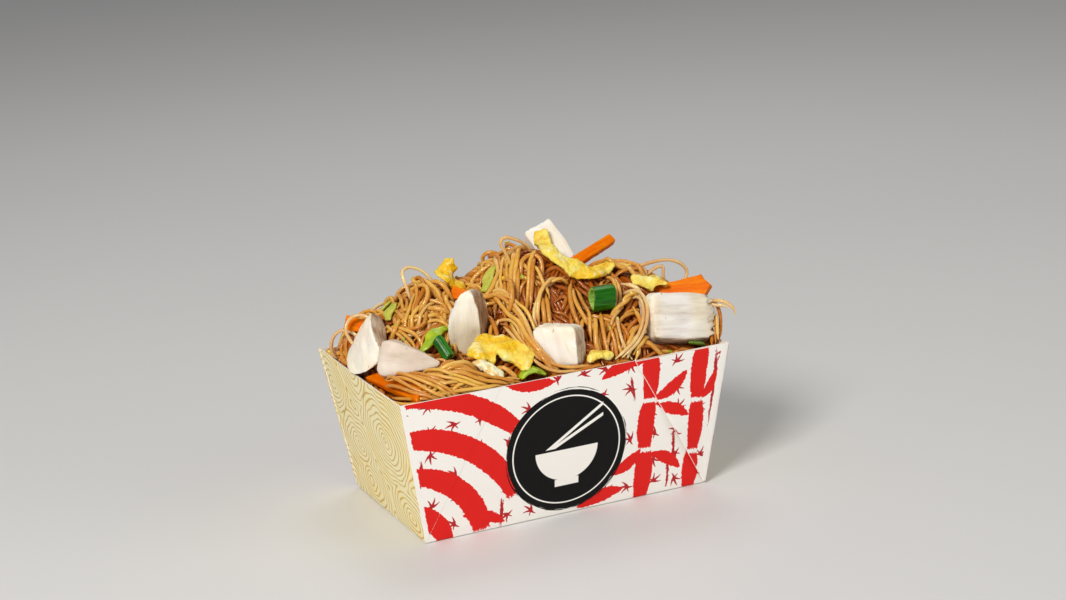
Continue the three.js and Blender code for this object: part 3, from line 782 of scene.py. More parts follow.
def makePlainBoard():
    stuff, shader = newMaterial("plainBoard", Roughness=0.62)
    place = objectPlace()
    spots = spotsOn(place, 60.0, 1400.0)
    pale = blend(spots["Blotch"], boardLook["white"], boardLook["kraft"])
    pale = tinted(pale, spots["Speckle"], 0.12, boardLook["fleck"])
    bump = bumpOf(noiseOf(place, 1800, 3), 0.1, 0.0002)
    feedAll(shader, Base_Color=pale, Normal=bump)
    return stuff


def makeRingBoard():
    stuff, shader = newMaterial("ringBoard", Roughness=0.42, Coat_Weight=0.12,
                                Coat_Roughness=0.3)
    place = panelPlace()
    rings = useGroup(grainRings, Vector=place, Spacing=boardLook["ringSpacing"])
    warmth = ramp(noiseOf(place, 0.045, 2), 0.42, 0.62)
    glow = times(rings["Glow"], ramp(warmth, 0, 1, 0.25, 0.85))
    paper = blend(glow, boardLook["cream"], boardLook["butter"])
    inked = ramp(noiseOf(place, 0.14, 2), 0.3, 0.55, 0.5, 1.0)
    colour = tinted(paper, rings["Line"], inked, boardLook["gold"])
    feedAll(shader, Base_Color=colour, Normal=boardBump(place))
    return stuff


strokeSockets = ("Start_X", "Start_Y", "Angle", "Length", "Width", "Bend", "Dryness", "Point")
arcSockets = ("Centre_X", "Centre_Y", "Radius", "From", "To", "Width", "Dryness")


def inkMasks(place, group, sockets, table):
    return [useGroup(group, Vector=place, **dict(zip(sockets, row)))["Mask"]
            for row in table]


def sealMasks(place):
    # an inked disc with a bristly edge, and in white a ring and a bowl with two sticks
    off = vectorCalc("SUBTRACT", place, (seal["u"], seal["v"], 0))
    away = vectorCalc("LENGTH", off)
    u, v = split(vectorCalc("NORMALIZE", off))
    brushed = joined(times(u, 1.7), times(v, 1.7), times(away, 1.5))
    ragged = jitter(noiseOf(brushed, 1.0, 4, 0.65), seal["bristles"])
    disc = ramp(plus(away, ragged), seal["radius"] + 0.15, seal["radius"] - 0.15)
    offRing = absolute(minus(away, seal["ring"]))
    ring = ramp(offRing, seal["ringWidth"], seal["ringWidth"] - 0.2)
    u, v = split(off)
    besides = absolute(u)
    toBowl = vectorCalc("LENGTH", vectorCalc("SUBTRACT", off, (0, bowl["top"], 0)))
    dish = times(ramp(toBowl, bowl["radius"], bowl["radius"] - 0.3),
                 ramp(v, bowl["top"], bowl["top"] - 0.3))
    toFoot = absolute(plus(v, bowl["radius"] - bowl["top"] + 0.9))
    foot = times(ramp(besides, bowl["foot"], bowl["foot"] - 0.3),
                 ramp(toFoot, bowl["footRise"], bowl["footRise"] - 0.3))
    white = [ring, dish, foot]
    for slope, rise in sticks["lines"]:
        offLine = absolute(minus(minus(v, rise), times(u, slope)))
        bar = times(ramp(offLine, sticks["half"], sticks["half"] - 0.25),
                    ramp(besides, sticks["reach"], sticks["reach"] - 0.3))
        white.append(times(bar, ramp(v, bowl["top"] + 0.9, bowl["top"] + 1.2)))
    return disc, strongest(white)


def makeInkBoard():
    stuff, shader = newMaterial("inkBoard", Specular_IOR_Level=0.22)
    place = panelPlace()
    red = strongest(inkMasks(place, brushStroke, strokeSockets, strokes)
                    + inkMasks(place, brushArc, arcSockets, ripples))
    cell = {"Cell": boardLook["sprigCell"], "Share": boardLook["sprigShare"]}
    dark = strongest(inkMasks(place, brushStroke, strokeSockets, dryLines)
                     + [useGroup(sprigs, Vector=place, **cell)["Mask"]])
    disc, white = sealMasks(place)
    colour = blend(dark, boardLook["white"], boardLook["darkRed"])
    colour = blend(red, colour, boardLook["red"])
    colour = blend(disc, colour, boardLook["black"])
    colour = tinted(colour, white, disc, boardLook["white"])
    # the print stops short of the corners, and it is rubbed off along the folds
    u, v = split(place)
    edge = plus(tray["baseLength"] / 2, times(v, flare / slant))
    rough = jitter(noiseOf(place, 0.5, 4), 1.6)
    margin = plus(minus(edge, absolute(u)), rough)
    bare = ramp(margin, boardLook["margin"], boardLook["margin"] - 0.3)
    wearAndEdgeLight = ramp(noiseOf(place, 0.9, 4, 0.7), 0.4, 0.6)
    crack = times(maskOf("foldLine"), wearAndEdgeLight)
    colour = blend(calc("MAXIMUM", bare, crack), colour, boardLook["white"])
    rough = ramp(calc("MAXIMUM", red, disc), 0.0, 1.0, 0.5, 0.62)
    feedAll(shader, Base_Color=colour, Roughness=rough, Normal=boardBump(place))
    return stuff


trayPiece, panelKinds = makeTray()
finished(trayPiece, "carton_board", ["carton"],
         [makePlainBoard(), makeInkBoard(), makeRingBoard()])
trayPiece.data.polygons.foreach_set("material_index", panelKinds)
print("tray folded")


heap = {
    "fillHeight": 63,
    "baseRise": 14,
    "uneven": 1.1,
    "lumps": [
        (8, 4, 35, 27, 30), (-42, 13, 22, 18, 28), (-74, 20, 15, 14, 24), (52, -12, 20, 26, 30),
        (-12, 34, 9, 22, 16), (74, -24, 9, 12, 26), (-76, -28, -9, 12, 22),
    ],  # x, y, rise, spread along x, spread along y
    "sunk": 6.2,  # how far the bare core lies below the noodles' level
    # x, y, radius and depth of the dark gaps between the strands, whose strands get painted shade
    "hollows": [
        (11, -9, 4, 4.5), (-7, -16, 4.5, 5), (-16, -21, 3.5, 5), (14, -18, 4.5, 5),
        (21, -26, 4, 4.5), (14, -34, 4, 4), (8, -26, 4, 4), (-3, -28, 4.5, 5), (20, -44, 3.5, 3),
        (-13, -36, 3.5, 3.5), (-49, -8, 5, 3.5), (-57, 3, 4, 3), (-34, 0, 4, 3), (-42, 2, 3.5, 4),
        (46, 2, 5, 3), (-30, 30, 6, 4), (30, 22, 6, 4), (62, 32, 5, 3.5), (-62, 12, 5, 3),
        (8, 44, 5, 3), (-44, 42, 5, 3), (66, 4, 5, 3), (36, -30, 3.5, 4), (52, -26, 4, 3),
    ],
    # the same for the dips at the feet of the chicken
    "feet": [
        (-34, -23.5, 9.5, 9.5), (-1, -46, 8, 5.5), (-60, -35, 5, 3), (-76, -9, 5, 5),
        (58, -49, 9, 3.5),
    ],
}


def heapHeight(x, y):
    # the noodles' general level, for single values or arrays
    toEdge = np.abs(x / (tray["topLength"] / 2 - 1)) ** 6
    toEdge = toEdge + np.abs(y / (tray["topWidth"] / 2 - 1)) ** 5
    edge = np.sqrt(np.clip(1 - toEdge, 0, None))
    rise = heap["baseRise"] + 0 * x
    for atX, atY, lift, spreadX, spreadY in heap["lumps"]:
        rise = rise + lift * np.exp(-(((x - atX) / spreadX) ** 2) - ((y - atY) / spreadY) ** 2)
    uneven = np.sin(0.31 * x + 1.7 * np.sin(0.11 * y)) * np.cos(0.37 * y + 0.9 * np.sin(0.13 * x))
    return heap["fillHeight"] + edge * (rise + heap["uneven"] * uneven)


def lowered(level, x, y, dips):
    for atX, atY, radius, depth in dips:
        level = level - depth * np.exp(-((x - atX) ** 2 + (y - atY) ** 2) / radius ** 2)
    return level


def openHeight(x, y):
    return lowered(heapHeight(x, y), x, y, heap["feet"])


def nestHeight(x, y):
    # the level that the strands settle to, with its gaps
    return lowered(openHeight(x, y), x, y, heap["hollows"])


def heapNormal(x, y, reach=1.5):
    slopeX = (heapHeight(x + reach, y) - heapHeight(x - reach, y)) / (2 * reach)
    slopeY = (heapHeight(x, y + reach) - heapHeight(x, y - reach)) / (2 * reach)
    normal = np.stack([-slopeX, -slopeY, np.ones_like(slopeX)], axis=-1)
    return normal / np.linalg.norm(normal, axis=-1, keepdims=True)


def makeCore():
    core = started(bpy.ops.mesh.primitive_grid_add, x_subdivisions=90, y_subdivisions=62, size=2)
    places = placesOf(core)
    level = heap["fillHeight"] - heap["sunk"]
    reachX, reachY = halfLength(level) - 1.0, halfWidth(level) - 1.0
    x, y = places[:, 0] * reachX, places[:, 1] * reachY
    rim = (np.abs(places[:, 0]) > 0.999) | (np.abs(places[:, 1]) > 0.999)
    z = np.where(rim, level, nestHeight(x, y) - heap["sunk"])
    ridges = [fractal.noise(Vector((a * 0.35, b * 0.35, 3.0))) for a, b in zip(x, y)]
    z = z + np.where(rim, 0, 0.9 * np.array(ridges))
    setPlaces(core, np.stack([x, y, z], axis=1) * mm)
    editAll(core)
    bpy.ops.mesh.extrude_region_move(TRANSFORM_OT_translate={"value": (0, 0, -0.01)})
    backToObject()
    foot = tray["board"] + 0.3
    places = placesOf(core) / mm
    lower = np.array([v.select for v in core.data.vertices])
    places[lower, 0] *= (halfLength(foot) - 1.0) / reachX
    places[lower, 1] *= (halfWidth(foot) - 1.0) / reachY
    places[lower, 2] = foot
    setPlaces(core, places * mm)
    facingOut(core)
    return smoothed(core, 60)


def makeCoreLook():
    stuff, shader = newMaterial("heapCore", Roughness=0.4, Subsurface_Weight=0.1,
                                Subsurface_Radius=(0.002, 0.001, 0.0005))
    place = objectPlace()
    spots = spotsOn(place, 140.0, 900.0)
    colour = blend(spots["Blotch"], linear(140, 66, 8), linear(184, 104, 20))
    colour = blend(spots["Speckle"], colour, linear(110, 50, 8))
    bump = bumpOf(noiseOf(place, 500, 3), 0.5, 0.0008)
    feedAll(shader, Base_Color=colour, Normal=bump)
    return stuff


finished(makeCore(), "noodle_core", ["noodles"], [makeCoreLook()])
print("core filled")


def fromNode(turned):
    # heading about Z, pitch about Y and roll about X, as the frame's pieces are turned
    heading, pitch, roll = (Matrix.Rotation(math.radians(v), 4, axis)
                            for v, axis in zip(turned, "ZYX"))
    return heading @ pitch @ roll


def noiseAt(places, scale, seed=0.0, octaves=3):
    # scale is how many waves there are in a millimetre
    scaled = places * scale + seed
    return np.array([fractal.fractal(Vector(p), 1.0, 2.0, octaves) for p in scaled])


grainScale = 0.01


def grainPlace():
    return joined(*(maskOf("grain" + name) for name in "XYZ"))


def setDown(piece, at, lay):
    piece.data.transform(Matrix.Translation(Vector(at) * mm) @ lay @ Matrix.Scale(mm, 4))
    piece.data.update()


def setOnHeap(piece, made, places):
    # its own straight coordinates are kept as three masks, so that the grain follows the piece
    for axis, name in enumerate("XYZ"):
        storeMask(piece, "grain" + name, places[:, axis] * grainScale)
    setPlaces(piece, places)
    setDown(piece, made["at"], fromNode(made["turn"]))


def layAll(table, make, words, looks):
    # words are what the CAD nodes and what the finished pieces are called
    pieces = []
    for number, made in enumerate(table):
        piece, node = make(made, number), made["node"]
        look = looks[made.get("look", "plain")]
        finished(piece, node.replace(*words), [node], [look])
        pieces.append(piece)
    return pieces


# shade is the way that a piece's darker, fibrous side faces; that darkness is painted shade
chickenPieces = [
    {"node": "chicken_top", "at": (23.4, 12.2, 109.6), "turn": (-69.5, 43.6, 29), "length": 23.2,
     "width": 18.3, "depth": 9.2, "ends": 10, "crisp": 0.97, "torn": 0.15,
     "shade": (0.2, 0.9, -0.4)},
    {"node": "chicken_rear_left", "at": (-70.1, 1, 84.2), "turn": (-104, 21, 48), "length": 33,
     "width": 27, "depth": 8.6, "sides": 3, "facing": 122, "ends": 2.5, "bow": -4.5,
     "shade": (1.4, -0.15, 0.4), "look": "slice"},
    {"node": "chicken_front_left", "at": (-63.8, -25.6, 79.2), "turn": (-39.6, 4.6, 68.7),
     "length": 28.2, "width": 15.3, "depth": 9.4, "ends": 3.4, "taper": 0.69,
     "shade": (0.2, -0.4, -0.9), "look": "blush"},
    {"node": "chicken_middle", "at": (-31, -18.8, 86.4), "turn": (-113, 104, -35), "length": 39,
     "width": 24.7, "depth": 9.4, "sides": 3, "facing": 147, "ends": 2.2, "bow": 0.7,
     "shade": (1.4, -0.15, 0.4), "look": "slice"},
    {"node": "chicken_front", "at": (3, -40.6, 77.7), "turn": (101, -72, -53), "length": 19.2,
     "width": 22.5, "depth": 15.2, "ends": 6, "crisp": 0.95, "taper": -0.17, "skew": 0.2,
     "shade": (0.9, -0.35, -0.2)},
    {"node": "chicken_right", "at": (61, -40, 80), "turn": (7, 11, 74), "length": 33, "width": 27,
     "depth": 16, "facing": 85, "ends": 8, "crisp": 0.75, "torn": 2.2, "tornFrom": 1,
     "streaks": 0.38, "shade": (-0.3, -0.4, -0.85)},
    {"node": "chicken_back", "at": (-10, 39, 83), "turn": (165, 8, -48), "length": 28, "width": 19,
     "depth": 14, "ends": 6, "torn": 0.4, "shade": (-0.9, 0.3, 0.1)},
    {"node": "chicken_back_right", "at": (47, 28, 86.5), "turn": (215, -20, 15), "length": 32,
     "width": 18, "depth": 12, "sides": 3, "ends": 2.4, "bow": 3, "shade": (0.3, 0.9, 0.1),
     "look": "slice"},
]
meat = {
    "voxel": 0.62,
    "soft": 0.8,  # how deep the soft hollows are
    "thread": (0.07, 0.26),  # how far fibres stand out, and how much more on the darker side
    "tuft": 2.6,
}


def makeChicken(made, number):
    # a ball pulled out into a softened bar or wedge, then given its fibres
    piece = started(bpy.ops.mesh.primitive_uv_sphere_add, segments=72, ring_count=44, radius=1)
    seed = 13.7 * number + 3.1
    wedge = 2 * math.pi / made.get("sides", 4)
    ends, crisp = made.get("ends", 6), made.get("crisp", 0.9)
    x, z, y = placesOf(piece).T  # the poles become the two ends
    along = np.sign(y) * np.abs(y) ** 0.6
    fromFlat = np.arctan2(z, x)
    offFlat = fromFlat - wedge * np.round(fromFlat / wedge)
    angle = fromFlat + math.radians(made.get("facing", 90))
    flat = 1.12 * math.cos(wedge / 2) / np.cos(offFlat)
    end = np.where(np.abs(y) > 0.9999, 0, np.clip(1 - np.abs(along) ** ends, 0, None) ** (1 / ends))
    reach = end * (1 + (flat - 1) * crisp) * (1 - made.get("taper", 0) * along)
    places = np.stack([
        along * made["length"] / 2,
        reach * np.cos(angle) * made["width"] / 2 + made.get("bow", 0) * (1 - along * along),
        reach * np.sin(angle) * made["depth"] / 2,
    ], axis=1)
    places[:, 0] += made.get("skew", 0) * places[:, 1]
    setPlaces(piece, places)
    facingOut(piece)
    applied(piece, "REMESH", mode="VOXEL", voxel_size=meat["voxel"])
    places, normals = placesOf(piece), normalsOf(piece)
    # painted shade: faces turned the shade way, mostly away from the key light or downwards, take
    # the darker colour
    facing = normals @ np.array(fromNode(made["turn"]).to_3x3()).T @ np.array(made["shade"])
    streaks = np.clip(0.4 + 1.5 * noiseAt(places * (0.1, 1.0, 1.0), 0.34, seed + 2, 4), 0, 1)
    streaks = made.get("streaks", 0.15) * streaks
    shaded = np.maximum(np.clip((facing - 0.35) / 0.35, 0, 1), streaks)
    away = places[:, 0] * made.get("tornFrom", np.sign(places[:, 0])) / (made["length"] / 2)
    # soft hollows, fibres along the piece and, at torn ends, loose tufts
    soft = meat["soft"] * noiseAt(places * (0.5, 1.0, 1.0), 0.13, seed, 2)
    least, more = meat["thread"]
    thread = (least + more * shaded) * noiseAt(places * (0.14, 1.0, 1.0), 0.8, seed + 5, 3)
    tuft = noiseAt(places * (0.3, 1.0, 1.0), 0.42, seed + 9, 4)
    ragged = made.get("torn", 0.3) * np.clip((away - 0.78) / 0.22, 0, 1)
    places = places + normals * (soft + thread)[:, None]
    places[:, 0] += np.sign(places[:, 0]) * ragged * meat["tuft"] * tuft
    storeMask(piece, "shaded", np.maximum(shaded, 0.12 * ragged))
    setOnHeap(piece, made, places)
    return smoothed(piece, 70)


# torn and tornAndShadeDark colour the side marked shaded: painted shade, with the torn fibres
def makeChickenLook(name, warmth, pale, cream, torn, tornAndShadeDark):
    stuff, shader = newFood(name, (3, 1.8, 1.2), Subsurface_Weight=0.22,
                            Specular_IOR_Level=0.35)
    threads = useGroup(fibres, Vector=grainPlace(), Fineness=1.0)
    place = objectPlace()
    spots = spotsOn(place, 60.0, 420.0)
    cloud = ramp(noiseOf(place, 48, 2), 0.38, 0.62)
    colour = blend(cloud, linear(*pale), linear(*cream))
    colour = tinted(colour, spots["Blotch"], warmth, linear(226, 202, 190))
    line = ramp(threads["Thread"], 0.60, 0.74)
    colour = tinted(colour, line, 0.14, linear(206, 182, 156))
    # the side torn along its fibres, darkened also as painted shade
    coarse = ramp(threads["Strand"], 0.36, 0.62)
    darker = blend(coarse, linear(*torn), linear(*tornAndShadeDark))
    darker = blend(ramp(threads["Thread"], 0.5, 0.72), darker, linear(120, 84, 54))
    patchy = ramp(noiseOf(place, 60, 3), 0.3, 0.6, 0.55, 0.95)
    colour = tinted(colour, maskOf("shaded"), patchy, darker)
    # a few dark grains of pepper and sauce
    dots = ramp(noiseOf(place, 430, 1), 0.735, 0.77)
    colour = tinted(colour, dots, 0.5, linear(128, 104, 80))
    height = plus(times(threads["Thread"], 0.6), times(threads["Strand"], 0.3))
    feedAll(shader, Base_Color=colour, Normal=bumpOf(height, 0.32, 0.0006),
            Roughness=ramp(spots["Speckle"], 0.0, 1.0, 0.42, 0.58))
    return stuff


chickenLooks = {
    "plain": makeChickenLook("chickenMeat", 0.12, (248, 244, 236), (242, 232, 208),
                             (214, 192, 164), (158, 128, 98)),
    "blush": makeChickenLook("chickenMeatBlush", 0.33, (222, 210, 194), (212, 196, 176),
                             (214, 192, 164), (158, 128, 98)),
    "slice": makeChickenLook("chickenSlice", 0.12, (252, 246, 230), (248, 236, 204),
                             (182, 138, 92), (128, 88, 52)),
}
words = ("chicken", "chicken_piece")
toppings = layAll(chickenPieces, makeChicken, words, chickenLooks)
print("chicken cut")


carrotPieces = [
    {"node": "carrot_top", "at": (40.4, 5, 105), "turn": (19, -14, 40), "length": 31, "width": 5,
     "depth": 4.4, "taper": 0.05},
    {"node": "carrot_right", "at": (70.8, -27, 89.6), "turn": (-33, -8, 65), "length": 29,
     "width": 8, "depth": 5, "taper": -0.3, "point": 0.9},
    {"node": "carrot_front_left", "at": (-70.8, -27, 69.4), "turn": (-80, -1, 24), "length": 40,
     "width": 8.4, "depth": 3.4, "taper": -0.2, "cut": -0.9},
    {"node": "carrot_middle", "at": (-26.6, 4.4, 96.6), "turn": (-38, 14, 61), "length": 7,
     "width": 5.6, "depth": 4.4},
    {"node": "carrot_rear_left", "at": (-71, 22, 85.6), "turn": (-22, 17, 66), "length": 11,
     "width": 6.4, "depth": 5},
    {"node": "carrot_back", "at": (33, 44, 79.5), "turn": (165, 4, 25), "length": 30, "width": 5.6,
     "depth": 5},
    {"node": "carrot_back_left", "at": (-36, 38, 86), "turn": (30, 4, 25), "length": 24, "width": 6,
     "depth": 5},
]
carrotCut = {"bevel": 0.55, "voxel": 0.42, "waver": 0.16, "fibre": 0.07, "bend": 0.25}


def makeCarrot(made, number):
    size = (made["length"], made["width"], made["depth"])
    piece = started(bpy.ops.mesh.primitive_cube_add, size=1, scale=size)
    seed = 7.3 * number + 1.9
    bpy.ops.object.transform_apply(location=True, rotation=True, scale=True)
    pickEdges(piece, lambda a, b: True)
    bpy.ops.mesh.bevel(offset=carrotCut["bevel"], segments=3, affect="EDGES")
    backToObject()
    applied(piece, "REMESH", mode="VOXEL", voxel_size=carrotCut["voxel"])
    places, normals = placesOf(piece), normalsOf(piece)
    along = places[:, 0] / (made["length"] / 2)
    narrow = 1 - made.get("taper", 0.1) * along
    places[:, 1:] *= narrow[:, None]
    places[:, 0] += made.get("cut", 0) * places[:, 1] * np.sign(along) * np.abs(along) ** 2
    tip = np.abs(places[:, 1] + 0.6) * np.clip(along, 0, None) ** 6
    places[:, 0] -= made.get("point", 0) * tip
    rough = carrotCut["waver"] * noiseAt(places, 0.25, seed, 2)
    rough += carrotCut["fibre"] * noiseAt(places * (0.2, 1, 1), 1.3, seed, 2)
    places += normals * rough[:, None]
    places[:, 2] += carrotCut["bend"] * np.sin(2.1 * along + seed)
    setOnHeap(piece, made, places)
    return smoothed(piece, 50)


def makeCarrotLook():
    stuff, shader = newFood("carrotFlesh", (3, 1.2, 0.4), Subsurface_Weight=0.08,
                            Specular_IOR_Level=0.06)
    threads = useGroup(fibres, Vector=grainPlace(), Fineness=0.8)
    spots = spotsOn(objectPlace(), 110.0, 900.0)
    strand = ramp(threads["Strand"], 0.3, 0.7)
    colour = blend(strand, linear(228, 104, 0), linear(238, 134, 0))
    colour = tinted(colour, spots["Blotch"], 0.3, linear(226, 90, 0))
    # painted highlight: the sharp edges of the stick are paler
    wearAndEdgeLight = addNode("ShaderNodeNewGeometry").outputs["Pointiness"]
    wearAndEdgeLight = ramp(wearAndEdgeLight, 0.53, 0.6, 0.0, 0.45)
    colour = blend(wearAndEdgeLight, colour, linear(250, 176, 70))
    feedAll(shader, Base_Color=colour, Normal=bumpOf(threads["Thread"], 0.35, 0.0005),
            Roughness=ramp(spots["Speckle"], 0, 1, 0.42, 0.6))
    return stuff


words = ("carrot", "carrot_stick")
toppings += layAll(carrotPieces, makeCarrot, words, {"plain": makeCarrotLook()})
print("carrot cut")


onionPieces = [
    {"node": "onion_top", "at": (29, -31, 93.2), "turn": (-9, 3, 75), "radius": 5.8, "wall": 1.5,
     "length": 10.5, "oval": 0.94},
    {"node": "onion_middle", "at": (-47.6, -25.5, 82), "turn": (-65, 43, 50), "radius": 2.7,
     "wall": 0.9, "length": 11, "oval": 0.9},
    {"node": "onion_back", "at": (64, 9, 86.5), "turn": (70, 14, 0), "radius": 5.2, "wall": 1.4,
     "length": 11, "oval": 0.9},
]


def makeOnion(made, number):
    # a short tube of leaf: a cylinder with open ends, given a wall and soft rims
    radius, wall, seed = made["radius"], made["wall"], 2.2 * number + 0.7
    piece = started(bpy.ops.mesh.primitive_cylinder_add, vertices=40, radius=radius - wall / 2,
                    depth=made["length"] - 0.4, end_fill_type="NOTHING")
    pickEdges(piece, lambda a, b: abs(a.z - b.z) > 1)
    bpy.ops.mesh.subdivide(number_cuts=12)
    backToObject()
    facingOut(piece)
    applied(piece, "SOLIDIFY", thickness=wall, offset=0)
    applied(piece, "BEVEL", width=0.28, segments=2, limit_method="ANGLE",
            angle_limit=math.radians(50))
    applied(piece, "SUBSURF", levels=1, render_levels=1)
    x, y, z = placesOf(piece).T
    places = np.stack([z, x, y * made["oval"]], axis=1)
    angle = np.arctan2(places[:, 2], places[:, 1])
    ribbed = 0.06 * np.sin(17 * angle + seed) + 0.05 * np.sin(31 * angle + 2 * seed)
    places[:, 1:] *= (1 + ribbed / radius)[:, None]
    places[:, 1] += 0.3 * np.sin(places[:, 0] * 0.35 + seed)
    places[:, 0] += 0.35 * np.sin(2 * angle + seed)
    depth = np.hypot(places[:, 1], places[:, 2] / made["oval"])
    storeMask(piece, "inside", np.clip((radius - depth) / wall, 0, 1))
    setOnHeap(piece, made, places)
    facingOut(piece)
    return smoothed(piece, 60)


def makeOnionLook():
    stuff, shader = newFood("springOnion", (0.8, 1.8, 0.4), Subsurface_Weight=0.08,
                            Coat_Weight=0.06, Coat_Roughness=0.25, Specular_IOR_Level=0.3)
    threads = useGroup(fibres, Vector=grainPlace(), Fineness=0.7)
    strand, thread = threads["Strand"], threads["Thread"]
    outer = blend(ramp(strand, 0.3, 0.7), linear(14, 78, 4), linear(40, 122, 8))
    paler = ramp(thread, 0.4, 0.7)
    inner = blend(paler, linear(128, 176, 60), linear(196, 214, 120))
    colour = blend(ramp(maskOf("inside"), 0.25, 0.6), outer, inner)
    feedAll(shader, Base_Color=colour, Normal=bumpOf(thread, 0.3, 0.0005),
            Roughness=ramp(thread, 0.3, 0.7, 0.22, 0.34))
    return stuff


words = ("onion", "onion_ring")
toppings += layAll(onionPieces, makeOnion, words, {"plain": makeOnionLook()})


# Ribbons lie on the heap along a path of x, y and height above it.
eggPieces = [
    {"node": "egg_top", "path": [(20.4, 12.2, 11.9), (18.6, 7, 4), (15.4, -3, 3.6),
     (15.8, -8.6, 3.4), (19.4, -12, 3.2), (25.4, -13.6, 3), (31.8, -15.4, 3), (38.8, -12.2, 3),
     (44, -13, 5.4)], "level": [1, 1, 0.5, 0, 0, 0, 0, 0], "width": 8.8, "thick": 2.6,
     "ruffle": 1.4, "waves": 3.4, "seed": 2},
    {"node": "egg_left", "path": [(-26.2, 18, 16.5), (-27.2, 16.3, 12.8), (-27, 14.5, 8.4),
     (-24.9, 12.6, 4.7), (-22.5, 10, 2.8)], "level": 1, "width": 10, "thick": 2.4, "ruffle": 0.8,
     "waves": 1.5, "seed": 5},
    {"node": "egg_front", "path": [(-40, -38, 2.6), (-33, -35, 4), (-26, -36, 4.2), (-20, -41, 3.6),
     (-13, -46, 2.6)], "width": 15.5, "thick": 3.8, "ruffle": 1.3, "waves": 2, "seed": 1},
    {"node": "egg_curl", "path": [(-39.4, -39.6, 2), (-36.2, -43.8, 2.2), (-33.4, -47.8, 2.6),
     (-30.8, -50.2, 2.2)], "width": 6.2, "thick": 4, "level": 1, "seed": 4, "look": "white"},
    {"node": "egg_right", "path": [(50, -26.5, 2), (58, -22.5, 2.2), (66.5, -19, 1.6)], "width": 12,
     "thick": 2.6, "ruffle": 1.2, "waves": 1.6, "seed": 4, "look": "pale"},
    {"node": "egg_rim", "path": [(11.5, -49.5, 0.6), (17.5, -48.5, 1.4), (23.5, -49.5, 0.6)],
     "width": 6.5, "thick": 3.6, "level": 1, "seed": 3},
    {"node": "egg_back", "path": [(28, 30, 2.6), (20, 32, 3.6), (12, 31, 3.2), (5, 28, 2.6)],
     "width": 13, "thick": 3, "ruffle": 1.4, "waves": 2, "seed": 7},
    {"node": "egg_back_left", "path": [(-66, 38, 2.2), (-58, 40, 2.6), (-49, 42, 2.2)], "width": 11,
     "thick": 2.8, "ruffle": 1, "waves": 1.6, "seed": 9},
]
leekPieces = [
    {"node": "leek_middle", "path": [(-56, -20, 2.2), (-49.5, -18, 2.8), (-41.5, -14.5, 2.4)],
     "width": 5.6, "thick": 1.8, "seed": 0.5},
    {"node": "leek_left", "path": [(-60, 11.5, 2), (-55.5, 16, 2.6), (-52.5, 18.5, 2)],
     "width": 5.8, "thick": 1.8, "seed": 2.6, "look": "dull"},
    {"node": "leek_peak", "path": [(-16.5, -0.5, 2), (-12, 4, 2.6), (-7, 8.5, 2)], "width": 6,
     "thick": 1.8, "seed": 0.5, "look": "dull"},
    {"node": "leek_front", "path": [(-22, -50, -0.4), (-16, -49, 1.4), (-9.5, -49.8, -0.4)],
     "width": 6.6, "thick": 2.4, "level": 1, "seed": 4.7},
    # this strip lies in the shade at the foot of the right-hand chicken; its dark look is painted
    # shade
    {"node": "leek_right", "path": [(63, -47.5, 0.6), (69, -45.5, 0), (74.5, -42.5, 0.8)],
     "width": 5, "thick": 1.8, "level": 1, "seed": 5, "look": "dark"},
    {"node": "leek_back", "path": [(-60, 24, 2), (-52, 27, 2.6), (-45, 31, 2)], "width": 5.8,
     "thick": 1.8, "seed": 4.7, "look": "dull"},
]
# how deep and how close together the wrinkles are, and how much the edges wave
eggFeel = {"crumple": 0.9, "closeness": 0.22, "edgeWave": 0.1}
leekFeel = {"crumple": 0.25, "closeness": 0.3, "edgeWave": 0.05}
ribbon = {"points": 60, "cuts": 30, "voxel": 0.5}


def unit(vectors):
    return vectors / np.linalg.norm(vectors, axis=1, keepdims=True)


def lengthOf(points):
    return float(np.sum(np.linalg.norm(np.diff(points, axis=0), axis=1)))


def smoothPath(points, count):
    # count places along a Catmull-Rom curve through the points, evenly spaced
    points = np.asarray(points, dtype=float)
    padded = np.vstack([2 * points[0] - points[1], points, 2 * points[-1] - points[-2]])
    a, b, c, d = (padded[k:len(padded) - 3 + k, None, :] for k in range(4))
    t = np.linspace(0, 1, 10, endpoint=False)[None, :, None]
    fine = 0.5 * (2 * b + (c - a) * t + (2 * a - 5 * b + 4 * c - d) * t ** 2
                  + (3 * b - a - 3 * c + d) * t ** 3)
    fine = np.vstack([fine.reshape(-1, points.shape[1]), points[-1:]])
    run = np.concatenate([[0], np.cumsum(np.linalg.norm(np.diff(fine, axis=0), axis=1))])
    wanted = np.linspace(0, run[-1], count)
    return np.stack([np.interp(wanted, run, row) for row in fine.T], axis=1)


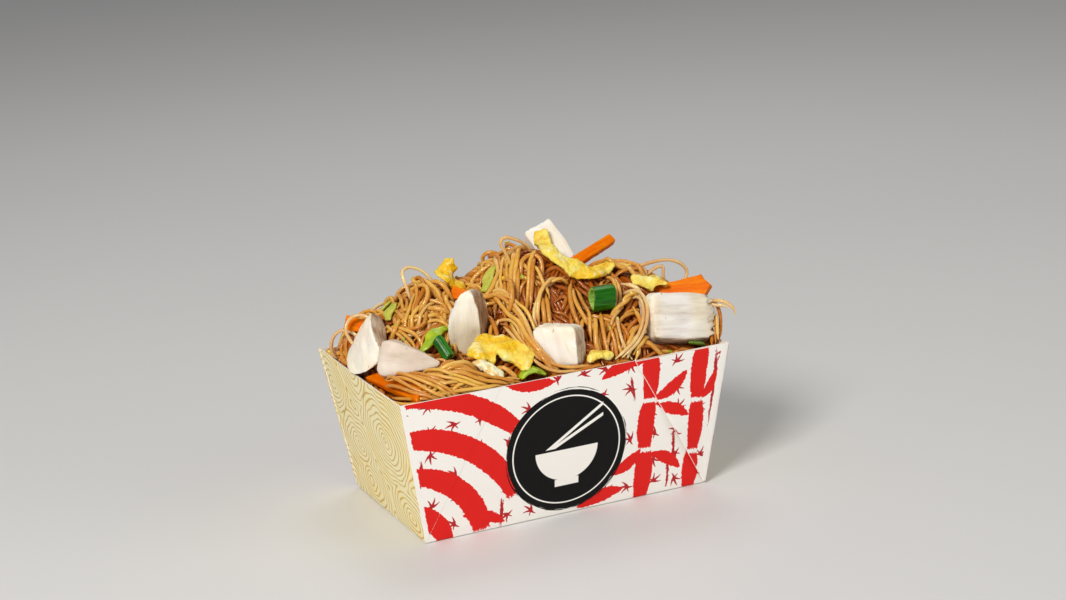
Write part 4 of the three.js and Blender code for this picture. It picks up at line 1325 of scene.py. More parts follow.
def makeRibbon(made, feel):
    laid = [(x, y, heapHeight(x, y) + lift) for x, y, lift in made["path"]]
    count = ribbon["points"]
    line = smoothPath(laid, count)
    along = unit(np.gradient(line, axis=0))
    # it follows the heap's slope, or lies as level as its path lets it where level is 1
    levels = np.atleast_1d(made.get("level", 0))
    level = np.interp(np.linspace(0, 1, count), np.linspace(0, 1, len(levels)), levels)[:, None]
    up = (1 - level) * heapNormal(line[:, 0], line[:, 1]) + level * np.array((0.0, 0.0, 1.0))
    up = unit(up - along * np.sum(up * along, axis=1, keepdims=True))
    side = np.cross(up, along)
    piece = started(bpy.ops.mesh.primitive_cube_add, size=1)
    editAll(piece)
    bpy.ops.mesh.subdivide(number_cuts=ribbon["cuts"])
    backToObject()
    x, y, z = placesOf(piece).T
    t = (x + 0.5) * (count - 1)

    def at(rows):
        return np.stack([np.interp(t, np.arange(count), row) for row in rows.T], axis=1)

    seed, width = made["seed"], made["width"]
    narrow = 1 - 0.5 * np.abs(2 * x) ** 3 + 0.16 * np.sin(10 * x + 3 * seed)
    frill = 1 + feel["edgeWave"] * np.sin(x * 21 + 5 * seed) * np.abs(2 * y) ** 2
    offset = y * width * narrow * frill + 0.1 * width * np.sin(8 * x + seed)
    fold = np.sin(made.get("waves", 2) * 2 * math.pi * x + seed) * np.cos(2.4 * y + seed)
    acrossEdge = np.sqrt(np.clip(1 - np.abs(2 * y) ** 4, 0.12, 1))
    roundEdge = acrossEdge * np.sqrt(np.clip(1 - np.abs(2 * x) ** 6, 0.12, 1))
    height = made.get("ruffle", 0) * fold + z * made["thick"] * roundEdge
    setPlaces(piece, at(line) + at(side) * offset[:, None] + at(up) * height[:, None])
    facingOut(piece)
    applied(piece, "REMESH", mode="VOXEL", voxel_size=ribbon["voxel"])
    places, normals = placesOf(piece), normalsOf(piece)
    lumps = feel["crumple"] * noiseAt(places, feel["closeness"], 11.3 * seed, 4)
    setPlaces(piece, places + normals * lumps[:, None])
    storeMask(piece, "lump", np.clip(0.5 + lumps / (2 * feel["crumple"]), 0, 1))
    setDown(piece, (0, 0, 0), Matrix())
    return smoothed(piece, 75)


def makeEggLook(name, yolk, pale=(246, 224, 104)):
    stuff, shader = newFood(name, (3, 1.8, 0.5), Subsurface_Weight=0.18,
                            Specular_IOR_Level=0.35)
    place = objectPlace()
    spots = spotsOn(place, 95.0, 520.0)
    patch = ramp(noiseOf(place, 62, 3, 0.55, 0.5), 0.38, 0.6)
    colour = tinted(linear(*pale), patch, yolk, linear(242, 196, 16))
    lump = maskOf("lump")
    # painted shade in the hollows of the crumpled egg, and painted light on its crests
    hollowShade = ramp(lump, 0.42, 0.2, 0.0, 0.6)
    colour = blend(hollowShade, colour, linear(228, 168, 18))
    crestLight = ramp(lump, 0.6, 0.85, 0.0, 0.8 - 0.3 * yolk)
    colour = blend(crestLight, colour, linear(252, 244, 190))
    brown = ramp(noiseOf(place, 150, 4, 0.6), 0.64, 0.76)
    colour = tinted(colour, brown, 0.22, linear(206, 132, 34))
    height = plus(spots["Speckle"], spots["Blotch"])
    feedAll(shader, Base_Color=colour, Normal=bumpOf(height, 0.35, 0.0008),
            Roughness=ramp(spots["Speckle"], 0, 1, 0.36, 0.54))
    return stuff


def makeLeekLook(name, bright, soft):
    stuff, shader = newFood(name, (1, 2, 0.5), Subsurface_Weight=0.15, Coat_Weight=0.15,
                            Coat_Roughness=0.2)
    place = objectPlace()
    spots = spotsOn(place, 130.0, 700.0)
    colour = blend(spots["Blotch"], linear(*bright), linear(*soft))
    colour = tinted(colour, spots["Speckle"], 0.2, linear(214, 222, 110))
    # veins run a little aslant
    lanes = feedAll(addNode("ShaderNodeMapping"), Vector=place,
                    Rotation=(0, 0, math.radians(25)), Scale=(120, 900, 900))["Vector"]
    bump = bumpOf(noiseOf(lanes, 1.0, 2), 0.25, 0.0005)
    feedAll(shader, Base_Color=colour, Normal=bump,
            Roughness=ramp(spots["Speckle"], 0, 1, 0.3, 0.46))
    return stuff


eggLooks = {
    "plain": makeEggLook("omelette", 1.0),
    "pale": makeEggLook("omelettePale", 0.2),
    "white": makeEggLook("omeletteWhite", 0.0, (248, 240, 196)),
}
leekLooks = {
    "plain": makeLeekLook("leekLeaf", (140, 174, 4), (190, 200, 20)),
    "dull": makeLeekLook("leekHeart", (168, 178, 44), (204, 198, 84)),
    # a darker copy of the leek colour, painted shade
    "dark": makeLeekLook("leekInShade", (58, 96, 14), (104, 132, 30)),
}
for table, feel, words, slotName, looks in (
    (eggPieces, eggFeel, ("egg", "omelette"), "omelette", eggLooks),
    (leekPieces, leekFeel, ("leek", "leek_strip"), "leek", leekLooks),
):
    toppings += layAll(table, lambda made, _: makeRibbon(made, feel), words, looks)
print("toppings laid")


noodle = {
    "radius": 0.98,
    "step": 2.0,  # between the points that settle
    "tubeStep": 1.7,
    "sides": 7,
    "rounds": 26,
    # shares by which a strand gives way at each round of settling
    "stiffness": 0.2,
    "pullBack": 0.02,
    "tension": 0.4,
    "sinking": 0.15,
}
lowest = noodle["radius"] - heap["sunk"]  # of a strand's middle, from the noodles' level
# Clumps of strands that run together, from the bottom of the heap up. stray is how far they leave
# the flow, in radians, and curl how much they turn at each step.
clumpLayers = [
    {"kind": "deep", "count": 64, "strands": (3, 5), "stray": 1.1, "curl": 0.04, "level": -4.2,
     "length": (34, 70)},
    {"kind": "middle", "count": 60, "strands": (2, 4), "stray": 1.2, "curl": 0.1, "level": -2.2,
     "length": (34, 80)},
    {"kind": "top", "count": 36, "strands": (1, 3), "stray": 1.2, "curl": 0.12, "level": 1.4,
     "length": (26, 64), "open": 0.35},
    {"kind": "top", "count": 34, "strands": (1, 1), "stray": 2.0, "curl": 0.14, "level": 2.6,
     "length": (24, 60), "open": 0.45},
]
curls = {"count": 52, "radius": (3.6, 9), "sweep": (150, 300), "tilt": (10, 60), "level": 1.6,
         "tail": (5, 14)}
# Bundles that show: how many strands, how far they spread, how high they lie, how pale they are,
# and their path over the plan. First the near side, then the rims, then the far side.
tresses = [
    (3, 4, 3.2, 0.8, [(-2, 14), (-5, 6), (-7, -2), (-12, -12)]),
    (3, 3.4, 3.2, 0.9, [(1, 6), (-5, -3), (-8, -9), (-11, -17)]),
    (3, 3.4, 3.0, 0.45, [(4, 2), (-3, -6), (-7, -11), (-11, -17)]),
    (2, 2.4, 3.4, 0.45, [(9, -2), (4, -10), (1, -15), (-3, -20)]),
    (2, 1.6, 2.6, 0.8, [(2, -10), (-3, -11), (-8, -15)]),
    (1, 1, 4.4, 0.9, [(4, -8), (5, -16), (6, -22)]),
    (2, 1.6, 5.4, 1.3, [(18, -13), (9, -16), (4, -19), (-1, -24), (-4, -27), (-1, -29)]),
    (2, 2.6, 3.2, 0.45, [(6, -18), (4, -24), (3, -29), (0, -38)]),
    (2, 2, 3.4, 0.6, [(22, -14), (18, -22), (16, -29), (18, -37)]),
    (1, 1, 4.6, 1.1, [(22, -18), (22, -25), (23, -30), (19, -39)]),
    (1, 1, 3.2, 0.45, [(15, -27), (13, -32), (10, -38)]),
    (2, 3, 0.6, 0.4, [(7, -22), (11, -26), (14, -31)]),
    (3, 4, -0.4, 0.1, [(-9, -23), (-3, -27), (4, -30), (10, -31)]),
    (1, 1, 2, 0.8, [(9, -21), (13, -20), (16, -21), (14, -24), (10, -24)]),
    (4, 5.5, 4.2, 1.0, [(-24, 14), (-19, 3), (-14, -8), (-11, -19), (-9, -27), (-9, -36), (-9, -44),
     (-3, -50), (6, -51)]),
    (3, 2.6, 3.0, 0.9, [(-23, -24), (-19, -17), (-16, -17), (-13, -21), (-13, -27), (-15, -38)]),
    (2, 3, 1.8, 0.45, [(-19, -3), (-20, -14), (-23, -28)]),
    (2, 2.6, 3.2, 0.7, [(23, -32), (21, -40), (17, -50)]),
    (2, 2.6, 3.4, 0.5, [(27, -33), (25, -41), (23, -51)]),
    (2, 2, 4.2, 1.2, [(31, -34), (29, -42), (28, -48), (31, -52)]),
    (2, 2.2, 4, 1.0, [(36, -13), (39, -22), (38, -28), (35, -34), (29, -40)]),
    (2, 1.6, 5, 1.2, [(43, -27), (48, -33), (47, -41), (40, -48), (31, -51)]),
    (3, 4.4, 2.8, 0.5, [(50, -30), (41, -33), (33, -36), (25, -43)]),
    (3, 4.4, 2.2, 0.3, [(48, -35), (40, -38), (32, -42), (24, -49)]),
    (2, 3, 2.6, 0.7, [(46, -41), (38, -45), (29, -50)]),
    (5, 8, 3.0, 1.1, [(40, 6), (48, -2), (55, -12), (58, -22)]),
    (3, 3, 3.0, 0.45, [(-78, 42), (-78, 20), (-78, 0), (-77, -22)]),
    (3, 3, 4.0, 0.45, [(-70, 51), (-76.5, 48), (-78, 40), (-77, 28)]),
    (2, 3, 1.2, 0.45, [(-77, -4), (-77, -26), (-75, -46)]),
    (4, 3.4, 6.0, 0.2, [(76, -28), (77.5, -38), (77, -46), (73, -51)]),
    (4, 4, 1.4, 0.2, [(77.5, 42), (77.5, 10), (77.5, -18), (77, -47)]),
    (3, 3, 1.2, 0.45, [(-70, 50.5), (-20, 51), (30, 51), (72, 50)]),
    (4, 4, 1.0, 0.3, [(50, -50.5), (62, -50), (74, -49)]),
    (4, 6, 3.6, 0.45, [(-54, 30), (-53, 19), (-56, 4), (-57, -5)]),
    (4, 6, 3.2, 0.45, [(-46, 20), (-46, 9), (-50, 2), (-54, -6)]),
    (3, 5, 2.8, 0.45, [(-44, 14), (-39, 9), (-38, 0), (-40, -8)]),
    (3, 5, 3.0, 0.8, [(-38, 4), (-44, 0), (-50, -3), (-56, -8)]),
    (3, 3.4, 4.4, 0.7, [(-66, 26), (-63, 10), (-60, -4), (-57, -16), (-58, -24)]),
    (4, 7, 2.6, 1.0, [(-50, -12), (-45, -6), (-38, -2), (-31, -5)]),
    (4, 5, 3.4, 0.7, [(-70, -26), (-66, -40), (-58, -49), (-44, -51)]),
    (5, 8, 3.2, 0.6, [(-60, -34), (-50, -42), (-38, -46), (-26, -51)]),
    (4, 3.4, 2.8, 0.7, [(-72, -50), (-54, -50.5), (-36, -50), (-16, -51)]),
    (4, 6, 3.4, 1.2, [(-58, 0), (-52, -4), (-45, -8), (-36, -9)]),
    (4, 6, 2.8, 0.45, [(-74, 34), (-76, 20), (-75, 4), (-76, -10)]),
    (4, 6, 3.0, 0.45, [(66, -4), (72, -14), (76, -26), (76, -40)]),
    (4, 5, 2.6, 0.4, [(-8, -50), (12, -51), (34, -51), (54, -51)]),
    (5, 5, 3.2, 0.2, [(36, -47), (46, -50), (58, -51), (74, -50)]),
    (5, 7, 3.2, 0.45, [(10, 12), (20, 20), (26, 32), (24, 46)]),
    (5, 7, 3.4, 0.7, [(-2, 14), (-4, 26), (4, 38), (16, 48)]),
    (5, 7, 3.4, 0.45, [(-12, 10), (-22, 22), (-26, 36), (-22, 49)]),
    (5, 7, 3.2, 0.45, [(-40, 20), (-46, 32), (-58, 42), (-70, 46)]),
    (4, 6, 3.0, 0.45, [(-52, 14), (-62, 26), (-70, 34), (-74, 46)]),
    (5, 8, 3.0, 0.8, [(34, 8), (44, 16), (58, 22), (74, 22)]),
    (5, 8, 3.0, 0.45, [(52, 2), (62, 14), (66, 30), (60, 46)]),
    (5, 7, 2.8, 0.45, [(30, 26), (42, 38), (56, 46), (72, 48)]),
    (5, 5, 2.4, 0.45, [(-40, 46), (-20, 50), (0, 50), (22, 50)]),
]
# Bundles that lie over the toppings' ends and by the corners: how many strands, how pale, the path.
drapes = [
    (1, 0.5, [(-75, -24, 72), (-73.7, -30, 75.1), (-71.4, -38.4, 74.5), (-68.3, -44.4, 72.8),
     (-65.2, -48, 70.4), (-62, -50.4, 67.5)]),
    (2, 0.8, [(-73, -26, 74), (-71.1, -32, 76), (-67.7, -41.2, 75.5), (-63.2, -47.1, 73),
     (-58.6, -50.1, 69.8), (-54, -51.4, 67.5)]),
    (2, 0.5, [(-68.6, -30, 74), (-67.4, -34.7, 76.6), (-62.3, -43.1, 75.9), (-56.6, -49.1, 72.8),
     (-52, -51.1, 69.7), (-47, -51.6, 67.5)]),
    (2, 0.9, [(-63, -33.5, 74), (-61.8, -37.4, 77), (-55, -44.7, 76.4), (-47.3, -49.5, 73.4),
     (-40.9, -51.2, 70), (-35, -51.6, 67)]),
    (2, 0.6, [(-57, -38, 75), (-55.8, -41.3, 77.4), (-48.4, -46, 76.4), (-40.7, -49.7, 73.8),
     (-32.1, -51.3, 71), (-25, -51.6, 68)]),
    (1, 0.4, [(-76, -28, 71), (-74.2, -35, 73), (-71.6, -41.5, 73), (-68.4, -46.4, 71.4),
     (-64, -49.6, 69), (-58, -51.2, 67.6)]),
    (2, 0.6, [(-76.8, -34, 66), (-76, -42, 67.4), (-73.6, -48, 68), (-68, -50.8, 68.2),
     (-58, -51.4, 67.6)]),
    (2, 1.1, [(-15, -22, 86.5), (-15, -27.4, 85.1), (-15, -34.9, 81.8), (-14.4, -41.8, 78.4),
     (-11.6, -46.4, 74.8), (-6.5, -49.6, 71.5), (1.4, -51, 69.3), (10.1, -51.4, 68.4),
     (16, -51.4, 67)]),
    (2, 0.1, [(76, -22, 74), (80, -29, 82), (81.5, -35, 84), (82, -40, 79.5), (80.4, -44, 74),
     (77.6, -48, 68)]),
    (2, 0.2, [(74, -20, 74), (78, -27, 80), (80, -34, 80), (80.2, -39, 76), (78.6, -44, 71),
     (75, -49, 67)]),
    (2, 0.7, [(-67, -48.5, 67), (-61.4, -49.7, 69), (-53.5, -50.8, 70), (-44.3, -51.2, 70.3),
     (-33.9, -51.4, 70), (-24, -51.4, 68.5)]),
]
# Loops and loose ends that spring clear of the heap.
springs = [
    [(-32, 15, 94), (-37, 17, 106), (-45, 18, 110), (-50, 16, 109), (-49, 12, 103), (-47, 9, 93)],
    [(12, 2, 106), (7, 0, 115.5), (3, -1, 118.1), (-1.5, -1, 120.4), (-5.5, -1, 121.6),
     (-7.6, -1, 120), (-6.5, -1, 116.8), (-3.3, -1, 112), (-1, -1.5, 104)],
    [(46, -12, 90), (52, -12.5, 97), (57.5, -13, 99.8), (67, -13, 101), (74, -13, 100.4),
     (80, -13.5, 97), (82.3, -14, 92.5), (79.5, -14.5, 89.5), (71, -15, 86.5), (67, -16, 80)],
    [(54, -11, 88), (60.5, -14, 96), (65, -14.5, 98.4), (69.7, -14.5, 98.8), (67.6, -14.5, 94.5),
     (69.5, -14, 90), (70, -13, 84)],
    [(-74, 14, 76), (-79, 16, 85), (-77, 18, 89.5), (-73, 18, 92), (-69, 16, 92), (-65, 11, 88),
     (-61, 7, 84)],
    [(-76, 33, 66), (-81, 31, 71), (-82, 28, 79), (-79, 26, 83.5), (-75, 22, 84.5), (-71, 17, 80)],
    [(70, -24, 70), (75, -27.5, 78), (79.8, -35, 83.5), (81, -41, 85.6), (83, -43.5, 85.9),
     (85.6, -45, 84.8), (87.2, -46, 82.6), (88.6, -46, 78.9)],
    [(40, -24, 90), (44.4, -29, 94), (46.5, -35, 94.3), (46.1, -41, 91.7), (44.6, -45, 87.2),
     (41.8, -48.5, 82.4), (37.7, -50.5, 77.5), (32.4, -51.5, 73.6), (27, -51.6, 71)],
    [(41, -27, 88), (44.8, -31, 92.5), (45.6, -36, 92), (43.9, -42, 89.4), (41.9, -46, 85.6),
     (38.9, -49, 81.2), (34.9, -51, 77.2), (29.7, -51.6, 73.3), (24, -51.4, 70.4)],
    [(14, 41, 76), (20, 44, 88), (30, 45, 90), (38, 42, 84), (42, 38, 76)],
    [(-66, 28, 78), (-60, 33, 88), (-50, 36, 90), (-42, 38, 84), (-38, 38, 74)],
    [(72, -25, 72), (77, -30, 80), (79.6, -34, 85.3), (79.9, -38, 83.8), (81.3, -41, 82.2),
     (83.5, -43, 84.2), (86, -45, 83.2)],
    [(74, -18, 72), (78.5, -24, 80), (80.4, -32, 83.5), (80.8, -38, 81), (80, -44, 76),
     (77, -48, 69)],
    [(77, -12, 73), (79, -22, 78), (80, -30, 78.5), (80.2, -37, 75), (78, -43, 69)],
]
draw = random.Random(41)


def makeFlow(spacing=2.0, reach=8.0):
    # Which way the strands run at each place of the plan, led by the tresses. Angles are doubled,
    # so that either way along a strand is the same.
    spots, turns = [], []
    for tress in tresses:
        path = np.array(tress[-1], dtype=float)
        for a, b in zip(path[:-1], path[1:]):
            angle = math.atan2(b[1] - a[1], b[0] - a[0])
            for share in (0.2, 0.5, 0.8):
                spots.append(a + (b - a) * share)
                turns.append((math.cos(2 * angle), math.sin(2 * angle)))
    spots, turns = np.array(spots), np.array(turns)
    x = np.arange(-tray["topLength"] / 2, tray["topLength"] / 2 + spacing, spacing)
    y = np.arange(-tray["topWidth"] / 2, tray["topWidth"] / 2 + spacing, spacing)
    gridX, gridY = np.meshgrid(x, y, indexing="ij")
    far = (gridX[..., None] - spots[:, 0]) ** 2 + (gridY[..., None] - spots[:, 1]) ** 2
    led = np.exp(-far / (2 * reach ** 2)) @ turns
    outward = np.arctan2(gridY - 4, gridX - 8) + 0.9
    led += 0.25 * np.stack([np.cos(2 * outward), np.sin(2 * outward)], axis=-1)
    angle = 0.5 * np.arctan2(led[..., 1], led[..., 0])
    upright = heapNormal(gridX, gridY)[..., 2]
    return {"angle": angle, "upright": upright, "x": x[0], "y": y[0], "spacing": spacing}


flow = makeFlow()


def flowAt(x, y):
    i = int(round((x - flow["x"]) / flow["spacing"]))
    j = int(round((y - flow["y"]) / flow["spacing"]))
    return flow["angle"][i, j], flow["upright"][i, j]


def inTray(x, y):
    return abs(x) < tray["topLength"] / 2 - 1.9 and abs(y) < tray["topWidth"] / 2 - 1.8


def keptOpen(x, y, share):
    # the front of the heap shows mostly its own bundles, so some loose strands are left out there
    return -30 < x < 56 and y < 2 and draw.random() > share


def walk(x, y, stray, curl, length):
    # the middle line of a clump, over the plan
    bias, bend = draw.gauss(0, stray), draw.gauss(0, curl)
    wave, phase = draw.uniform(0.12, 0.3), draw.uniform(0, 6.28)
    heading = flowAt(x, y)[0] + bias + draw.choice((0, math.pi))
    line = []
    for k in range(int(length / noodle["step"])):
        if not inTray(x, y):
            break
        line.append((x, y))
        angle, upright = flowAt(x, y)
        if math.cos(angle - heading) < 0:
            angle += math.pi
        heading += bend + 0.08 * math.sin(angle + bias - heading) + 0.1 * math.sin(wave * k + phase)
        stride = noodle["step"] * (0.35 + 0.65 * upright)
        x += stride * math.cos(heading)
        y += stride * math.sin(heading)
    return np.array(line)


def beside(plan, offset, lift, dip):
    # a strand beside a plan line, laid over the heap, its two ends dipping in
    forward = np.gradient(plan, axis=0)
    forward /= np.maximum(np.linalg.norm(forward, axis=1, keepdims=True), 1e-6)
    across = np.stack([-forward[:, 1], forward[:, 0]], axis=1)
    placed = plan + across * np.reshape(offset, (-1, 1))
    kept = np.array([inTray(x * 0.98, y * 0.98) for x, y in placed])
    placed, lift = placed[kept], (lift + np.zeros(len(plan)))[kept]
    ends = np.minimum(np.arange(len(placed)), np.arange(len(placed))[::-1]) / 4.0
    lift = lift - dip * np.clip(1 - ends, 0, 1) ** 2
    return np.c_[placed, nestHeight(placed[:, 0], placed[:, 1]) + lift]


def evenSteps(points):
    return smoothPath(points, max(6, int(round(lengthOf(points) / noodle["step"])) + 1))


def clumpStrands(layer):
    x = draw.uniform(-1, 1) * (tray["topLength"] / 2 - 5)
    y = draw.uniform(-1, 1) * (tray["topWidth"] / 2 - 5)
    if keptOpen(x, y, layer.get("open", 1)):
        return []
    plan = walk(x, y, layer["stray"], layer["curl"], draw.uniform(*layer["length"]))
    if len(plan) < 9:
        return []
    number, tint = draw.randint(*layer["strands"]), draw.random()
    made = []
    for k in range(number):
        side = (k - (number - 1) / 2) * draw.uniform(1.8, 2.6)
        phase, steps = draw.uniform(0, 6.28), np.arange(len(plan))
        offset = side + draw.uniform(0.5, 2.2) * np.sin(draw.uniform(0.1, 0.24) * steps + phase)
        lift = layer["level"] + draw.uniform(-0.7, 0.9) + 0.9 * np.sin(0.22 * steps + phase)
        points = beside(plan, offset, lift, 2.5)
        if len(points) > 7:
            shade = min(1, max(0, tint + draw.uniform(-0.18, 0.18)))
            made.append({"points": evenSteps(points), "tint": shade, "kind": layer["kind"]})
    return made


def tressStrands(tress):
    strandCount, spread, height, pale, path = tress
    made = []
    path = np.array(path, dtype=float)
    length = lengthOf(path)
    count = max(8, int(1.25 * length / noodle["step"]))
    line = smoothPath(path, count)
    forward = unit(np.gradient(line, axis=0))
    for k in range(strandCount):
        side = ((k + 0.5) / strandCount - 0.5) * spread + draw.gauss(0, 0.6)
        fan, phase = draw.uniform(-0.9, 0.9), draw.uniform(0, 6.28)
        # some strands start earlier or run on further
        share = np.linspace(draw.uniform(-0.12, 0.1), 1 + draw.uniform(-0.1, 0.12), count)
        at = np.clip(share, 0, 1) * (count - 1)
        plan = np.stack([np.interp(at, np.arange(count), line[:, axis]) for axis in (0, 1)], axis=1)
        plan = plan + np.minimum(share, 0)[:, None] * length * forward[0]
        plan = plan + np.maximum(share - 1, 0)[:, None] * length * forward[-1]
        steps = np.arange(count)
        roam = draw.uniform(0.15, 0.5) * spread
        offset = side * (1 + fan * np.sin(2.2 * share + phase))
        offset = offset + roam * np.sin(draw.uniform(0.1, 0.3) * steps + 2 * phase)
        lift = height + draw.uniform(-1.4, 1.0) + 1.3 * np.sin(0.22 * steps + 3 * phase)
        points = beside(plan, offset, lift, 4.0)
        if len(points) > 5:
            tint = min(1.5, max(0, pale + draw.uniform(-0.45, 0.42)))
            made.append({"points": evenSteps(points), "tint": tint, "kind": "top"})
    return made


def curlStrand():
    # an arc that stands up from the heap on its two tails
    x = draw.uniform(-1, 1) * (tray["topLength"] / 2 - 14)
    y = draw.uniform(-1, 1) * (tray["topWidth"] / 2 - 14)
    if keptOpen(x, y, 0.4):
        return []
    up = heapNormal(x, y)
    spin, tilt = draw.uniform(0, 6.28), math.radians(draw.uniform(*curls["tilt"]))
    side = np.array((math.cos(spin), math.sin(spin), 0))
    side -= up * side.dot(up)
    side /= np.linalg.norm(side)
    outward = np.cross(up, side) * math.cos(tilt) + up * math.sin(tilt)
    radius, half = draw.uniform(*curls["radius"]), math.radians(draw.uniform(*curls["sweep"]) / 2)
    squeeze = draw.uniform(0.7, 1.2)
    centre = np.array((x, y, nestHeight(x, y)))
    centre = centre + up * (curls["level"] - 0.2 * radius * math.sin(tilt))
    around = np.linspace(-half, half, 14)[:, None]
    arc = centre + radius * (np.cos(around) * outward + squeeze * np.sin(around) * side)

    def tail(a, b):
        return a + (a - b) / np.linalg.norm(a - b) * draw.uniform(*curls["tail"]) - up * 2

    points = np.vstack([tail(arc[0], arc[1]), arc, tail(arc[-1], arc[-2])])
    if not all(inTray(px, py) for px, py in points[:, :2]):
        return []
    return [{"points": evenSteps(points), "tint": draw.uniform(0.3, 1), "kind": "top"}]


def layUntil(count, make):
    # make lays some strands or none, and count times it has to lay some
    strands, laid = [], 0
    while laid < count:
        made = make()
        strands += made
        laid += bool(made)
    return strands


def seedStrands():
    strands = []
    for layer in clumpLayers:
        strands += layUntil(layer["count"], lambda: clumpStrands(layer))
    for tress in tresses:
        strands += tressStrands(tress)
    strands += layUntil(curls["count"], curlStrand)
    for count, pale, path in drapes:
        path = np.array(path, dtype=float)
        for k in range(count):
            shift = np.array((1.5, 0.7, 0.5)) * (2 * k - 1) * draw.uniform(0.6, 1.3)
            wave = np.arange(len(path)) * draw.uniform(0.8, 1.6) + draw.uniform(0, 6.28)
            points = evenSteps(path + shift + 0.8 * np.sin(wave)[:, None] * (0.8, 0.5, 0.3))
            tint = pale + draw.uniform(-0.25, 0.25)
            strands.append({"points": points, "tint": tint, "kind": "spring"})
    for spring in springs:
        points = evenSteps(np.array(spring, dtype=float))
        strands.append({"points": points, "tint": draw.uniform(1.2, 1.8), "kind": "spring"})
    return strands


def joinedTree(pieces):
    corners, faces, first = [], [], 0
    for piece in pieces:
        places = placesOf(piece) / mm
        corners += places.tolist()
        faces += [tuple(first + v for v in face.vertices) for face in piece.data.polygons]
        first += len(places)
    return BVHTree.FromPolygons(corners, faces)


def tuckUnder(strands, tree):
    # Where a strand would lie over a topping or stand before its face, it dives below the heap's
    # level, and a long dive is cut away, so that the strand goes in under the topping.
    eye = Vector(view["place"])
    kept = []
    for strand in strands:
        if strand["kind"] == "spring":
            kept.append(strand)
            continue
        points = strand["points"]
        level = nestHeight(points[:, 0], points[:, 1])
        normals = heapNormal(points[:, 0], points[:, 1])
        hidden = np.zeros(len(points), dtype=bool)
        for k, (point, up) in enumerate(zip(points, normals)):
            spot, way = Vector(point), Vector(up)
            if abs(point[1]) > 43 or abs(point[0]) > 70:
                way = Vector((0, 0, 1))  # by the rim, only what stands right over it counts
            over = tree.ray_cast(spot, way, 18)[3]
            under = tree.ray_cast(spot, -way, 12)[0]
            if under is not None or (over is not None and over < 2.0):
                hidden[k] = True
                continue
            if strand["kind"] == "deep":
                continue
            sight = (spot - eye).normalized()
            met = tree.ray_cast(spot + sight * 0.3, sight, 15)[0]
            if met is None:
                continue
            if met.z > nestHeight(met.x, met.y) + (2.4 if point[1] < -44 else 1.5):
                hidden[k] = True
        points[hidden, 2] = (level + lowest)[hidden]
        for _ in range(4):
            points[1:-1, 2] = 0.5 * points[1:-1, 2] + 0.25 * (points[:-2, 2] + points[2:, 2])
        # the strand is cut where it stays hidden for long
        buried = hidden.copy()
        for _ in range(2):
            buried[1:-1] = buried[1:-1] & buried[:-2] & buried[2:]
        first, shown = 0, ~buried
        while first < len(points):
            if not shown[first]:
                first += 1
                continue
            last = first
            while last < len(points) and shown[last]:
                last += 1
            if last - first >= 8 and not hidden[first:last].all():
                kept.append({**strand, "points": points[first:last]})
            first = last
    return kept


def closePairs(points, reach):
    # index pairs of points that share or adjoin a small cell
    cells = np.floor(points / reach).astype(np.int64)
    cells -= cells.min(axis=0) - 1
    size = cells.max(axis=0) + 2
    keys = (cells[:, 0] * size[1] + cells[:, 1]) * size[2] + cells[:, 2]
    order = np.argsort(keys, kind="stable")
    ranked = keys[order]
    near = []
    for dx in (-1, 0, 1):
        for dy in (-1, 0, 1):
            for dz in (-1, 0, 1):
                shift = (dx * size[1] + dy) * size[2] + dz
                if shift < 0:
                    continue
                first = np.searchsorted(ranked, keys + shift, "left")
                count = np.searchsorted(ranked, keys + shift, "right") - first
                a = np.repeat(np.arange(len(keys)), count)
                inRun = np.arange(count.sum()) - np.repeat(np.cumsum(count) - count, count)
                b = order[np.repeat(first, count) + inRun]
                if shift == 0:
                    keep = a < b
                    a, b = a[keep], b[keep]
                near.append((a, b))
    return np.concatenate([a for a, _ in near]), np.concatenate([b for _, b in near])


